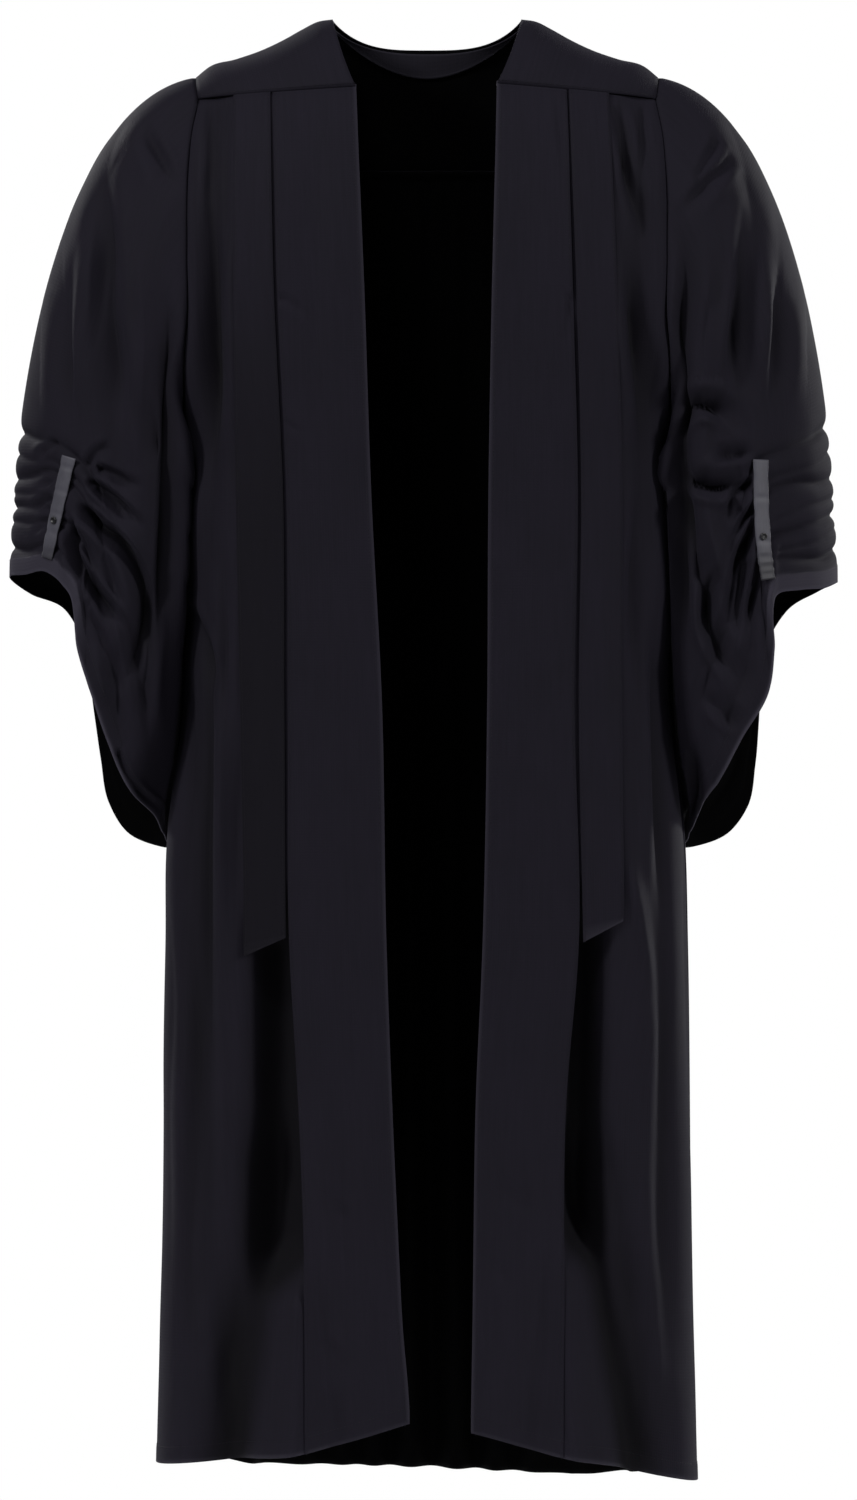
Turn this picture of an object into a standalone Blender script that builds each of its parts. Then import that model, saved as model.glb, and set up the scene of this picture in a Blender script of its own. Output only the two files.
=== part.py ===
"""Open lawyer gown in its worn form with no wearer: thin cloth walls sewn from a yoke, two fronts,
front bands, hanging strips, a gathered back and two wide sleeves gathered up under a tape.

Metres, +Z up, the front faces -Y. The origin lies midway between the shoulders, at shoulder height.
"""

import math

import bmesh
import bpy
import numpy as np
from mathutils import Vector

MM = 0.001

# Cloth and seams, in millimetres
WALL = 1.3
BAND_WALL = 1.6
TAPE_WALL = 1.0
SEAM_GAP = 0.3
LAY_GAP = 0.5
SIDE_GAP = 0.6
STRIP_GAP = 0.7
FACING_GAP = 0.8
FACING_EASE = 5.0
CORNER_GAP = 0.7
SLEEVE_CLEARANCE = 4.0
CLEARANCE_RUN = 40.0
DEEPEST_REACH = 0.2

# Number of steps along each stretch of the armhole and of the panels
YOKE_FRONT_STEPS = 4
YOKE_BACK_STEPS = 6
ARM_FRONT_STEPS = 12
ARM_BACK_STEPS = 10
SHOULDER_SHARES = (0.0, 0.05, 0.14, 0.3, 0.47, 0.65, 0.83, 1.0)
NECK_COLUMNS = 10
BAND_SHARES = (0.0, 0.09, 0.2, 0.45, 0.72, 1.0)
STRIP_SHARES = (0.0, 0.25, 0.5, 0.75, 1.0)

# Columns of the fronts and of each half of the back: evenly spaced ones, then those of the side
FRONT_SPACING, FRONT_MAIN, FRONT_SIDE = 10.5, 8, 5
BACK_SPACING, BACK_MAIN, BACK_SIDE = 10.0, 20, 4


def table(columns, rows):
    """A short table as named columns."""
    return dict(zip(columns, np.array(rows, float).T))


# Sections of the body, from the collar bones down to the hem: half width, squareness and depths
BODY = table(
    ("z", "half_width", "squareness", "front", "back"),
    (
        (-30, 219, 2.4, 80, 74),
        (-42, 221, 2.5, 88, 80),
        (-100, 226, 4.0, 109, 100),
        (-180, 233, 4.0, 124, 115),
        (-250, 232, 4.0, 128, 122),
        (-320, 218, 3.8, 129, 125),
        (-350, 213.5, 3.6, 129, 126),
        (-400, 214.5, 3.5, 128, 127),
        (-570, 217, 3.4, 126, 131),
        (-700, 228, 3.2, 124, 135),
        (-780, 230, 3.1, 123, 138),
        (-1040, 233, 3.0, 121, 147),
        (-1260, 238, 2.9, 123, 155),
    ),
)

# The shoulder line, from the neck point to the end of the yoke
SHOULDER = table(
    ("x", "z"),
    ((83, 31), (96, 29), (110, 22), (126, 13), (145, 4), (168, -4), (192, -11), (203, -20)),
)

# The armhole below the yoke, from the front seam under the arm to the back seam
ARMHOLE = table(
    ("y", "z"),
    (
        (-48, -42),
        (-80, -100),
        (-96, -180),
        (-98, -250),
        (-68, -320),
        (0, -350),
        (66, -320),
        (94, -250),
        (90, -180),
        (74, -99),
    ),
)
UNDERARM_ROW = 5
UNDERARM_Z = -350.0

# How far the yoke leans out for each unit that it falls at its seams, at the armhole and the neck
FRONT_LEAN = (0.72, 0.45)
BACK_LEAN = (0.22, 0.24)
BACK_SEAM_Z = -99.0

# The back neckline: how far back it lies, its lowest point and how squarely it turns and rises
NECK_BACK, NECK_LOW = 68.0, 10.0
NECK_TURN, NECK_RISE = 2.6, 3.5

# The front edges: where each band starts and ends across, at each height
EDGES = table(
    ("z", "left_inner", "left_outer", "right_inner", "right_outer"),
    (
        (-30, 62, 134, 61, 121),
        (-216, 54, 129, 56, 126),
        (-392, 48, 121, 53, 130),
        (-568, 39, 120, 52, 127),
        (-779, 35, 119, 48, 131),
        (-920, 30, 111, 42, 120),
        (-1052, 24, 106, 40, 118),
        (-1240, 15, 104, 38, 116),
    ),
)
FRONT_SEAM = {"left": (-34, -42), "right": (-31, -42)}
UNDER_BAND = 9.0
BAND_RAMP = 30.0
SEAM_RISE = 60.0
ARM_MARGIN, ARM_RUN = 6.0, 20.0
CORNER_START = 125.0

# The hem of each front, from its inner corner to the side seam
HEM = table(
    ("x", "left", "right"),
    ((15, -1194, -1196), (60, -1208, -1208), (105, -1220, -1221), (180, -1228, -1236), (240, -1236, -1252)),
)
HEM_RISE = 170.0

# The hanging strips: their outer and inner edges, and the heights where they are cut off
STRIP = table(
    ("z", "left_outer", "left_inner", "right_inner", "right_outer"),
    (
        (-42, 168, 136, 123, 158),
        (-216, 166, 132, 129, 164),
        (-392, 162, 124, 133, 168),
        (-568, 158, 123, 131, 168),
        (-780, 156, 122, 135, 169),
    ),
)
STRIP_END = {"left": (-790, -774), "right": (-760, -778)}
STRIP_END_ROOM = 15.0

# Long folds of the fronts: where each runs, how wide and how deep; a depth below zero stands out
FRONT_FOLDS = {
    "left": table(
        ("x_top", "z_top", "x_low", "z_low", "width", "depth"),
        (
            (186, -70, 190, -420, 12, 5),
            (204, -480, 196, -1110, 16, 6),
            (132, -760, 136, -1060, 23, 26),
            (150, -1010, 176, -1180, 20, 15),
            (163, -800, 166, -1060, 15, -5),
            (112, -1060, 122, -1250, 22, -7),
        ),
    ),
    "right": table(
        ("x_top", "z_top", "x_low", "z_low", "width", "depth"),
        (
            (184, -80, 192, -400, 12, 5),
            (212, -560, 206, -1230, 15, 6),
            (140, -760, 142, -1010, 21, 26),
            (146, -960, 160, -1170, 19, 16),
            (172, -800, 176, -1100, 16, -5),
            (125, -1080, 138, -1250, 20, -7),
        ),
    ),
}
FOLD_FADE = 70.0

# The gathered back: small gathers under the yoke open into wide flutes at the hem
FLUTES = 12
FLUTED_WIDTH = (205.0, 228.0)
GATHER_DEPTH = 2.6
FLUTE_DEPTH = 13.0
FLUTE_CALM = 0.72
GATHER_FALL = 0.3
BACK_HEM = table(("x", "z"), ((-240, -1236), (-150, -1252), (0, -1256), (130, -1262), (240, -1252)))

# Rows of the fronts and the back below the underarm, down to the hem
FRONT_ROWS = (-400, -480, -580, -680, -740, -790, -850, -920, -990, -1060, -1120, -1180, -1250)
BACK_ROWS = (-400, -500, -620, -740, -860, -980, -1090, -1180, -1250)

# The cuff and the hanging hem of each sleeve, from its outer tip to its lowest point
SLEEVE_HEM = {
    "left": table(
        ("x", "y", "z"),
        (
            (367, 0, -459),
            (352, -34, -458),
            (333, -60, -456),
            (311, -83, -476),
            (304, -90, -524),
            (291, -90, -566),
            (279, -86, -602),
            (259, -74, -646),
            (240, -42, -667),
            (232, 16, -686),
            (220, 66, -697),
            (236, 90, -698),
            (266, 95, -686),
            (284, 96, -658),
            (291, 97, -620),
            (298, 96, -570),
            (305, 94, -520),
            (322, 80, -487),
            (350, 48, -474),
        ),
    ),
    "right": table(
        ("x", "y", "z"),
        (
            (361, 0, -464),
            (347, -34, -470),
            (326, -60, -472),
            (303, -84, -478),
            (302, -90, -524),
            (296, -90, -564),
            (275, -86, -600),
            (256, -74, -636),
            (240, -42, -662),
            (232, 16, -684),
            (220, 66, -697),
            (236, 90, -698),
            (268, 95, -686),
            (286, 96, -662),
            (293, 97, -624),
            (297, 96, -570),
            (302, 94, -520),
            (320, 80, -488),
            (345, 48, -472),
        ),
    ),
}
HEM_LOW_ROW = 10

# How a sleeve leaves the armhole and how it falls at its hem
SLEEVE_START = (370.0, 330.0)
SLEEVE_FALL = table(
    ("angle", "out", "back", "up"),
    (
        (0, 0, 0, -440),
        (35, 50, -10, -410),
        (60, 190, -30, -330),
        (85, 220, -20, -300),
        (115, 150, 0, -300),
        (150, 60, 10, -320),
        (180, 10, 30, -330),
        (215, 30, 30, -330),
        (255, 130, 20, -310),
        (290, 190, 20, -310),
        (320, 90, 10, -390),
        (360, 0, 0, -440),
    ),
)

# Under the arm the sleeve hangs against the body: how far in, between these angles
SLEEVE_WRAP = 26.0
WRAP_ANGLES = (105, 150, 225, 262)

# Stations along a sleeve: the smooth upper part, then two for each gather
UPPER_STATIONS = (0.0, 0.1, 0.2, 0.32, 0.44, 0.56, 0.67, 0.745)
FINE_ANGLES = (26, 108)
GATHER_START = 0.785
GATHERS = 5.5
GATHER_DROP = 4.0

# The drag folds that fan from the tape: angle round the sleeve, place along it, width and depth
FAN_FOLDS = table(
    ("angle", "along", "angle_low", "along_low", "width", "depth"),
    (
        (50, 0.74, 104, 0.70, 9, 6),
        (50, 0.80, 112, 0.82, 10, 8),
        (48, 0.86, 104, 0.95, 10, 8),
        (46, 0.91, 76, 1.00, 9, 7),
        (8, 0.20, 40, 0.42, 14, 4),
        (130, 0.25, 120, 0.60, 16, 6),
        (310, 0.80, 250, 0.84, 11, 7),
        (312, 0.88, 262, 0.98, 10, 6),
        (230, 0.25, 238, 0.62, 17, 6),
    ),
)
MM_PER_DEGREE = 2.27
MM_PER_LENGTH = 430.0
FAN_ENTRY, FAN_EXIT = 20.0, 45.0

TAPE_WIDTH = 17.6
TAPE_STEPS = 9
TAPE_PATH = {"left": ((36.0, 0.765), (29.0, 0.972)), "right": ((43.0, 0.735), (46.0, 0.952))}
BUTTON_PLACE = 0.62
BUTTON_RADIUS = 3.2
BUTTON_DEPTH = 1.8

# The neck facing: its height as a share of the yoke's, its distance from the edge and its taper
FACING_HEIGHT, FACING_EDGE, FACING_TAPER = 0.19, 0.02, 0.55
FACING_ROWS = 3


def spline(knots, values, at):
    """A smooth curve through the values, read at some places."""
    knots, values, at = (np.asarray(v, float) for v in (knots, values, at))
    slopes = np.gradient(values, knots, axis=0)
    i = np.clip(np.searchsorted(knots, at, side="right") - 1, 0, len(knots) - 2)
    step = knots[i + 1] - knots[i]
    t = np.clip((at - knots[i]) / step, 0, 1)
    if values.ndim > 1:
        step, t = step[:, None], t[:, None]
    low = (1 + 2 * t) * (1 - t) ** 2 * values[i] + t * (1 - t) ** 2 * step * slopes[i]
    high = t * t * (3 - 2 * t) * values[i + 1] + t * t * (t - 1) * step * slopes[i + 1]
    return low + high


def column(source, name, at, key="z"):
    """One column of a table, read at some heights."""
    order = np.argsort(source[key])
    return spline(source[key][order], source[name][order], at)


def lengths(points):
    """The distance along a line of points, from its start to each of them."""
    steps = np.linalg.norm(np.diff(points, axis=0), axis=-1)
    return np.concatenate([[0.0], np.cumsum(steps)])


def hermite(start, leave, end, arrive, t):
    """A cubic from start to end with the given tangents."""
    return (
        (1 + 2 * t) * (1 - t) ** 2 * start
        + t * (1 - t) ** 2 * leave
        + t * t * (3 - 2 * t) * end
        + t * t * (t - 1) * arrive
    )


def ramp(value):
    """A soft step from 0 to 1."""
    t = np.clip(value, 0, 1)
    return t * t * (3 - 2 * t)


def body_x(z, y):
    """The half width of the body at a height and a depth; a depth below zero is in front."""
    depth = np.where(y < 0, column(BODY, "front", z), column(BODY, "back", z))
    power = column(BODY, "squareness", z)
    rest = np.clip(1 - (np.abs(y) / depth) ** power, 0, 1)
    return column(BODY, "half_width", z) * rest ** (1 / power)


def body_depth(z, x, face):
    """The depth of the body's front or back at a height and a half width."""
    power = column(BODY, "squareness", z)
    rest = np.clip(1 - (np.abs(x) / column(BODY, "half_width", z)) ** power, 0, 1)
    sign = -1 if face == "front" else 1
    return sign * column(BODY, face, z) * rest ** (1 / power)


def body_row(z, y_start, x_end, face, spacing, main, side):
    """Points of one level of the body from its side to x_end, evenly spaced from there."""
    level = np.full(400, float(z))
    power = float(column(BODY, "squareness", [z])[0])
    wide = float(column(BODY, "half_width", [z])[0])
    deep = float(column(BODY, face, [z])[0])
    low = math.asin(min(1, abs(y_start) / deep) ** (power / 2))
    high = math.acos(min(1, x_end / wide) ** (power / 2))
    angle = np.linspace(high, low, 400)
    x = wide * np.cos(angle) ** (2 / power)
    y = deep * np.sin(angle) ** (2 / power) * (-1 if face == "front" else 1)
    line = np.column_stack([x, y, level])
    along = lengths(line)
    even = np.arange(main) * spacing
    rest = np.linspace(main * spacing, along[-1], side + 1)
    at = np.concatenate([even, rest])[::-1]
    return np.column_stack([np.interp(at, along, line[:, k]) for k in range(3)])


def body_normal(points):
    """The level outward direction of the body's surface at points near it."""
    x, y, z = points[..., 0], points[..., 1], points[..., 2]
    flat = z.ravel()
    power = column(BODY, "squareness", flat).reshape(z.shape)
    wide = column(BODY, "half_width", flat).reshape(z.shape)
    front = column(BODY, "front", flat).reshape(z.shape)
    back = column(BODY, "back", flat).reshape(z.shape)
    deep = np.where(y < 0, front, back)
    nx = np.sign(x) * (np.abs(x) / wide) ** (power - 1) / wide
    ny = np.sign(y) * (np.abs(y) / deep) ** (power - 1) / deep
    normal = np.stack([nx, ny, np.zeros_like(nx)], axis=-1)
    return normal / np.maximum(np.linalg.norm(normal, axis=-1, keepdims=True), 1e-9)


def edge_profile(share, y_seam, z_top, z_seam, lean):
    """The yoke's fall over the shoulder from its top to a seam, as depth and height."""
    drop = z_top - z_seam
    top = np.array([0.0, z_top])
    seam = np.array([y_seam, z_seam])
    leave = np.array([1.5 * y_seam, 0.0])
    arrive = np.array([math.copysign(lean * drop, y_seam), -drop]) * 1.35
    return hermite(top, leave, seam, arrive, share[:, None])


def armhole():
    """The armhole's half loops, front and back, from the shoulder to the underarm, x outwards."""
    line = np.column_stack([ARMHOLE["y"], ARMHOLE["z"]])
    along = lengths(line)
    under = along[UNDERARM_ROW]
    low_front = spline(along, line, np.linspace(0, under, ARM_FRONT_STEPS + 1))
    low_back = spline(along, line, np.linspace(along[-1], under, ARM_BACK_STEPS + 1))
    z_top = SHOULDER["z"][-1]
    loops = []
    for low, steps, lean in (
        (low_front, YOKE_FRONT_STEPS, FRONT_LEAN[0]),
        (low_back, YOKE_BACK_STEPS, BACK_LEAN[0]),
    ):
        share = np.linspace(0, 1, steps + 1)[:-1]
        top = edge_profile(share, low[0, 0], z_top, low[0, 1], lean)
        x_seam = body_x(low[:1, 1], low[:1, 0])[0]
        x_top = SHOULDER["x"][-1] + (x_seam - SHOULDER["x"][-1]) * share**2
        high = np.column_stack([x_top, top])
        rest = np.column_stack([body_x(low[:, 1], low[:, 0]), low])
        loops.append(np.vstack([high, rest]))
    return loops


ARM_FRONT, ARM_BACK = armhole()


def placed(points, side):
    """Points given for a half, x outwards, on the gown's left or right in the picture."""
    out = np.array(points, float)
    if side == "left":
        out[..., 0] *= -1
    return out


def yoke_half(side, face):
    """A shoulder part of the yoke, from the shoulder line to the front or back seam."""
    loop = ARM_FRONT if face == "front" else ARM_BACK
    steps = YOKE_FRONT_STEPS if face == "front" else YOKE_BACK_STEPS
    across = np.array(SHOULDER_SHARES)
    rise = np.linspace(0, 1, steps + 1)
    x_top = SHOULDER["x"][-1] + (SHOULDER["x"][0] - SHOULDER["x"][-1]) * across
    z_top = spline(SHOULDER["x"], SHOULDER["z"], x_top)
    if face == "front":
        x_in = EDGES[side + "_inner"][0]
        z_in, z_out = FRONT_SEAM[side]
        lean = FRONT_LEAN[0] + (FRONT_LEAN[1] - FRONT_LEAN[0]) * across
    else:
        x_in = SHOULDER["x"][0]
        z_in = z_out = BACK_SEAM_Z
        lean = BACK_LEAN[0] + (BACK_LEAN[1] - BACK_LEAN[0]) * across
    x_seam = loop[steps, 0] + (x_in - loop[steps, 0]) * across
    z_seam = z_out + (z_in - z_out) * across
    y_seam = body_depth(z_seam, x_seam, face)
    if face == "front":
        y_seam -= (LAY_GAP + BAND_WALL) * ramp((x_seam[0] - x_seam) / BAND_RAMP)
    grid = np.zeros((steps + 1, len(across), 3))
    for j in range(len(across)):
        fall = edge_profile(rise, y_seam[j], z_top[j], z_seam[j], lean[j])
        x_path = x_top[j] + (x_seam[j] - x_top[j]) * rise**2
        grid[:, j] = np.column_stack([x_path, fall])
    grid[:, 0] = loop[: steps + 1]
    return placed(grid, side)


def neckline(x):
    """The back neckline's depth and height at each x."""
    share = np.abs(x) / SHOULDER["x"][0]
    y = NECK_BACK * np.sqrt(np.clip(1 - share**NECK_TURN, 0, 1))
    z = NECK_LOW + (SHOULDER["z"][0] - NECK_LOW) * share**NECK_RISE
    return y, z


def yoke_neck():
    """The middle of the back yoke, from the neckline to the seam."""
    x = np.linspace(-SHOULDER["x"][0], SHOULDER["x"][0], NECK_COLUMNS + 1)
    rise = np.linspace(0, 1, YOKE_BACK_STEPS + 1)
    y_top, z_top = neckline(x)
    y_seam = body_depth(np.full(len(x), BACK_SEAM_Z), x, "back")
    grid = np.zeros((len(rise), len(x), 3))
    edge = edge_profile(rise, y_seam[0], SHOULDER["z"][0], BACK_SEAM_Z, BACK_LEAN[1])
    for j in range(len(x)):
        share = abs(x[j]) / SHOULDER["x"][0]
        bend = (edge[:, 0] - edge[0, 0]) / (edge[-1, 0] - edge[0, 0])
        drop = (edge[:, 1] - edge[0, 1]) / (edge[-1, 1] - edge[0, 1])
        steep = rise**0.9
        y = y_top[j] + (y_seam[j] - y_top[j]) * (bend * share + rise * (1 - share))
        z = z_top[j] + (BACK_SEAM_Z - z_top[j]) * (drop * share + steep * (1 - share))
        grid[:, j] = np.column_stack([np.full(len(rise), x[j]), y, z])
    return grid


def front_levels():
    """The heights of the fronts' rows, from the yoke seam to the hem."""
    upper = ARM_FRONT[YOKE_FRONT_STEPS:, 2]
    return np.concatenate([upper, FRONT_ROWS])


def fold_depth(points, folds, ridges_alone=False):
    """How far the folds draw each point in, by its place across and up the front."""
    x, z = np.abs(points[..., 0]), points[..., 2]
    depth = np.zeros_like(x)
    for k in range(len(folds["depth"])):
        if ridges_alone and folds["depth"][k] > 0:
            continue
        run = (z - folds["z_top"][k]) / (folds["z_low"][k] - folds["z_top"][k])
        middle = folds["x_top"][k] + (folds["x_low"][k] - folds["x_top"][k]) * np.clip(run, 0, 1)
        beyond = np.maximum(z - folds["z_top"][k], folds["z_low"][k] - z)
        fade = 1 - ramp(beyond / FOLD_FADE)
        depth += folds["depth"][k] * fade * np.exp(-(((x - middle) / folds["width"][k]) ** 2))
    return depth


def hem_level(z, x, side):
    """The height of a row near the hem, which follows the hem's own line."""
    hem = spline(HEM["x"], HEM[side], np.clip(np.abs(x), HEM["x"][0], HEM["x"][-1]))
    share = ramp((z - (FRONT_ROWS[-1] + HEM_RISE)) / -HEM_RISE)
    return z + (hem - FRONT_ROWS[-1]) * share


def raised_to_seam(grid, side, gap):
    """The same rows, the upper ones raised to follow the yoke's front seam, a gap below it."""
    z_in, z_out = FRONT_SEAM[side]
    x_arm = ARM_FRONT[YOKE_FRONT_STEPS, 0]
    slope = (z_in - z_out) / (x_arm - EDGES[side + "_inner"][0])
    x, z = grid[..., 0], grid[..., 2]
    fade = 1 - ramp((z_out - z) / SEAM_RISE)
    raised = z + (slope * (x_arm - grid[0, :, 0]) - gap) * fade
    level = body_depth(z.ravel(), x.ravel(), "front")
    moved = body_depth(raised.ravel(), x.ravel(), "front") - level
    inner = ramp((x_arm - ARM_MARGIN - x) / ARM_RUN)
    out = grid.copy()
    out[..., 1] += moved.reshape(x.shape) * inner
    out[..., 2] = raised
    return out


def front_panel(side):
    """A front, from the armhole and side seam to under its band."""
    rows = []
    for i, z in enumerate(front_levels()):
        on_arm = i <= ARM_FRONT_STEPS
        y_start = ARM_FRONT[YOKE_FRONT_STEPS + i, 1] if on_arm else 0.0
        x_end = float(column(EDGES, side + "_outer", [z])[0]) - UNDER_BAND
        rows.append(body_row(z, y_start, x_end, "front", FRONT_SPACING, FRONT_MAIN, FRONT_SIDE))
    grid = np.array(rows)
    corner = CORNER_GAP * ramp((grid[0, :, 0] - CORNER_START) / ARM_RUN)
    grid = raised_to_seam(grid, side, SEAM_GAP + corner)
    grid[:, :, 2] = hem_level(grid[:, :, 2], grid[:, :, 0], side)
    grid -= body_normal(grid) * fold_depth(grid, FRONT_FOLDS[side])[..., None]
    return placed(grid, side)


def over_front(side, inner, outer, shares, lift):
    """Rows lying over the front between two edges, moved out from its surface."""
    rows = []
    for z in front_levels():
        x_low = float(column(inner[0], inner[1], [z])[0])
        x_high = float(column(outer[0], outer[1], [z])[0])
        x = x_high + (x_low - x_high) * np.array(shares)
        level = np.full(len(x), z)
        rows.append(np.column_stack([x, body_depth(level, x, "front"), level]))
    grid = raised_to_seam(np.array(rows), side, SEAM_GAP)
    grid[:, :, 2] = hem_level(grid[:, :, 2], grid[:, :, 0], side)
    raised = lift - fold_depth(grid, FRONT_FOLDS[side], True)
    return grid + body_normal(grid) * raised[..., None]


def band(side):
    """A front band from the yoke seam to the hem, its outer margin lapping the front."""
    lift = LAY_GAP + BAND_WALL
    grid = over_front(side, (EDGES, side + "_inner"), (EDGES, side + "_outer"), BAND_SHARES, lift)
    return placed(grid, side)


def strip(side):
    """A hanging strip, sewn at the yoke seam and cut off on a slant."""
    lift = STRIP_GAP + WALL
    grid = over_front(side, (STRIP, side + "_inner"), (STRIP, side + "_outer"), STRIP_SHARES, lift)
    z_outer, z_inner = STRIP_END[side]
    share = np.array(STRIP_SHARES)
    kept = [row for row in grid if row[:, 2].min() > max(z_outer, z_inner) + STRIP_END_ROOM]
    x_outer = float(column(STRIP, side + "_outer", [z_outer])[0])
    x_inner = float(column(STRIP, side + "_inner", [z_inner])[0])
    x_end = x_outer + (x_inner - x_outer) * share
    z_end = z_outer + (z_inner - z_outer) * share
    last = np.column_stack([x_end, body_depth(z_end, x_end, "front"), z_end])
    last += body_normal(last) * lift
    return placed(np.array(kept + [last]), side)


def back_seam():
    """The yoke's back seam from the left armhole to the right one."""
    left = yoke_half("left", "back")[-1]
    right = yoke_half("right", "back")[-1]
    return np.vstack([left[:-1], yoke_neck()[-1], right[-2::-1]])


def flute_wave(points):
    """How far the back's flutes stand out at each point, small under the yoke and wide at the hem."""
    x, z = points[..., 0], points[..., 2]
    fall = np.clip((BACK_SEAM_Z - z) / (BACK_SEAM_Z - BACK_ROWS[-1]), 0, 1)
    across = x / (FLUTED_WIDTH[0] + (FLUTED_WIDTH[1] - FLUTED_WIDTH[0]) * fall)
    sway = across + 0.03 * np.sin(4.7 * across + 0.7) + 0.02 * np.sin(11 * across + 3 * fall)
    flutes = np.sin(math.pi * FLUTES * sway) * (0.72 + 0.28 * np.sin(7 * across + 1.0))
    calm = 1 - ramp((np.abs(across) - FLUTE_CALM) / (1 - FLUTE_CALM))
    return FLUTE_DEPTH * (0.1 + 0.9 * ramp(fall * 1.05)) * flutes * calm * ramp(fall / 0.05)


def back_half(side):
    """One half of the back, from its side to the centre, without its folds."""
    upper = ARM_BACK[YOKE_BACK_STEPS:]
    levels = np.concatenate([upper[:, 2], BACK_ROWS])
    rows = []
    for i, z in enumerate(levels):
        y_start = max(upper[i, 1] if i < len(upper) else 0.0, SIDE_GAP)
        rows.append(body_row(z, y_start, 0.0, "back", BACK_SPACING, BACK_MAIN, BACK_SIDE))
    return placed(np.array(rows), side)


def back_panel():
    """The back from the yoke seam to the hem, between the armholes and the side seams."""
    left, right = back_half("left"), back_half("right")
    grid = np.concatenate([left, right[:, -2::-1]], axis=1)
    seam = back_seam()
    grid[0] = np.column_stack([np.interp(grid[0, :, 0], seam[:, 0], seam[:, k]) for k in range(3)])
    grid[0, :, 2] -= SEAM_GAP
    fall = (BACK_SEAM_Z - grid[..., 2]) / (BACK_SEAM_Z - BACK_ROWS[-1])
    columns = np.arange(grid.shape[1])
    inner = (columns > BACK_SIDE) & (columns < grid.shape[1] - 1 - BACK_SIDE)
    zigzag = np.where(inner & (columns % 2 == 1), GATHER_DEPTH, 0.0)
    gathers = zigzag * (1 - ramp(fall / GATHER_FALL)) * ramp(fall / 0.015)
    grid += body_normal(grid) * (flute_wave(grid) - gathers)[..., None]
    low = ramp((grid[..., 2] - (BACK_ROWS[-1] + HEM_RISE)) / -HEM_RISE)
    hem = np.interp(grid[..., 0], BACK_HEM["x"], BACK_HEM["z"])
    grid[..., 2] += (hem - BACK_ROWS[-1]) * low
    return grid


def sleeve_angles():
    """Columns round a sleeve: angles in degrees with the armhole loop's points, front half first."""
    front = lengths(ARM_FRONT)
    back = lengths(ARM_BACK)
    angle = np.concatenate([180 * front / front[-1], 360 - 180 * back[-2:0:-1] / back[-1]])
    loop = np.vstack([ARM_FRONT, ARM_BACK[-2:0:-1]])
    angles, points = [], []
    for k in range(len(angle)):
        after = (k + 1) % len(angle)
        angles.append(angle[k])
        points.append(loop[k])
        if FINE_ANGLES[0] < angle[k] < FINE_ANGLES[1]:
            angles.append((angle[k] + angle[after]) / 2)
            points.append((loop[k] + loop[after]) / 2)
    return np.array(angles), np.array(points)


def hem_loop(side, angle):
    """The sleeve's hem at each angle round it."""
    source = SLEEVE_HEM[side]
    line = np.column_stack([source["x"], source["y"], source["z"]])
    ring = np.vstack([line[-2:], line, line[:2]])
    along = lengths(ring)
    start, low, end = along[2], along[2 + HEM_LOW_ROW], along[2 + len(line)]
    at = np.interp(angle, [0, 180, 360], [start, low, end])
    return spline(along, ring, at)


def sleeve_surface(side, angle, start, stations):
    """A sleeve's smooth surface: a row of points round it at each station along it."""
    turn = np.radians(angle)
    top = np.cos(turn / 2) ** 2
    end = hem_loop(side, angle)
    reach = SLEEVE_START[1] + (SLEEVE_START[0] - SLEEVE_START[1]) * top
    leave = np.column_stack([0.12 + 0.88 * top, -0.12 * np.sin(turn), 0.84 * top - 1.0])
    leave *= reach[:, None]
    arrive = np.column_stack([column(SLEEVE_FALL, k, angle, "angle") for k in ("out", "back", "up")])
    begin = start + np.array([SEAM_GAP, 0.0, 0.0])
    rows = np.array([hermite(begin, leave, end, arrive, t) for t in stations])
    first, full, last, none = WRAP_ANGLES
    wrap = ramp((angle - first) / (full - first)) * ramp((none - angle) / (none - last))
    place = np.asarray(stations)
    held = ramp(place / 0.25) * (1 - ramp((place - 0.84) / 0.16))
    rows[..., 0] -= SLEEVE_WRAP * wrap * held[:, None]
    return clear_of_body(rows)


def clear_of_body(points):
    """The same points, those too near the body's side moved out to lie just clear of it."""
    x, y, z = points[..., 0], points[..., 1], points[..., 2]
    flat = z.ravel()
    gap = SEAM_GAP + SLEEVE_CLEARANCE * ramp((UNDERARM_Z - z) / CLEARANCE_RUN)
    wide = column(BODY, "half_width", flat).reshape(z.shape) + gap
    front = column(BODY, "front", flat).reshape(z.shape) + gap
    back = column(BODY, "back", flat).reshape(z.shape) + gap
    power = column(BODY, "squareness", flat).reshape(z.shape)
    deep = np.where(y < 0, front, back)
    reach = ((np.abs(x) / wide) ** power + (np.abs(y) / deep) ** power) ** (1 / power)
    grow = np.where((z < UNDERARM_Z) & (reach < 1), 1 / np.maximum(reach, DEEPEST_REACH), 1.0)
    out = points.copy()
    out[..., 0] *= grow
    out[..., 1] *= grow
    return out


def surface_normals(grid, closed):
    """Outward directions of a surface of rows and columns."""
    if closed:
        wide = np.concatenate([grid[:, -1:], grid, grid[:, :1]], axis=1)
        across = wide[:, 2:] - wide[:, :-2]
    else:
        across = np.gradient(grid, axis=1)
    down = np.gradient(grid, axis=0)
    normal = np.cross(across, down)
    return normal / np.maximum(np.linalg.norm(normal, axis=-1, keepdims=True), 1e-9)


def gather_drop(angle, along):
    """How far the gathers beside the tape draw the cloth in."""
    turn = (angle + 180) % 360 - 180
    reach = ramp((turn + 120) / 60) * ramp((62 - turn) / 20)
    wave = (along - GATHER_START) / (1 - GATHER_START) * GATHERS
    start = ramp((along - GATHER_START + 0.02) / 0.02)
    return GATHER_DROP * reach * start * (1 - np.abs(np.sin(math.pi * wave)))


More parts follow.
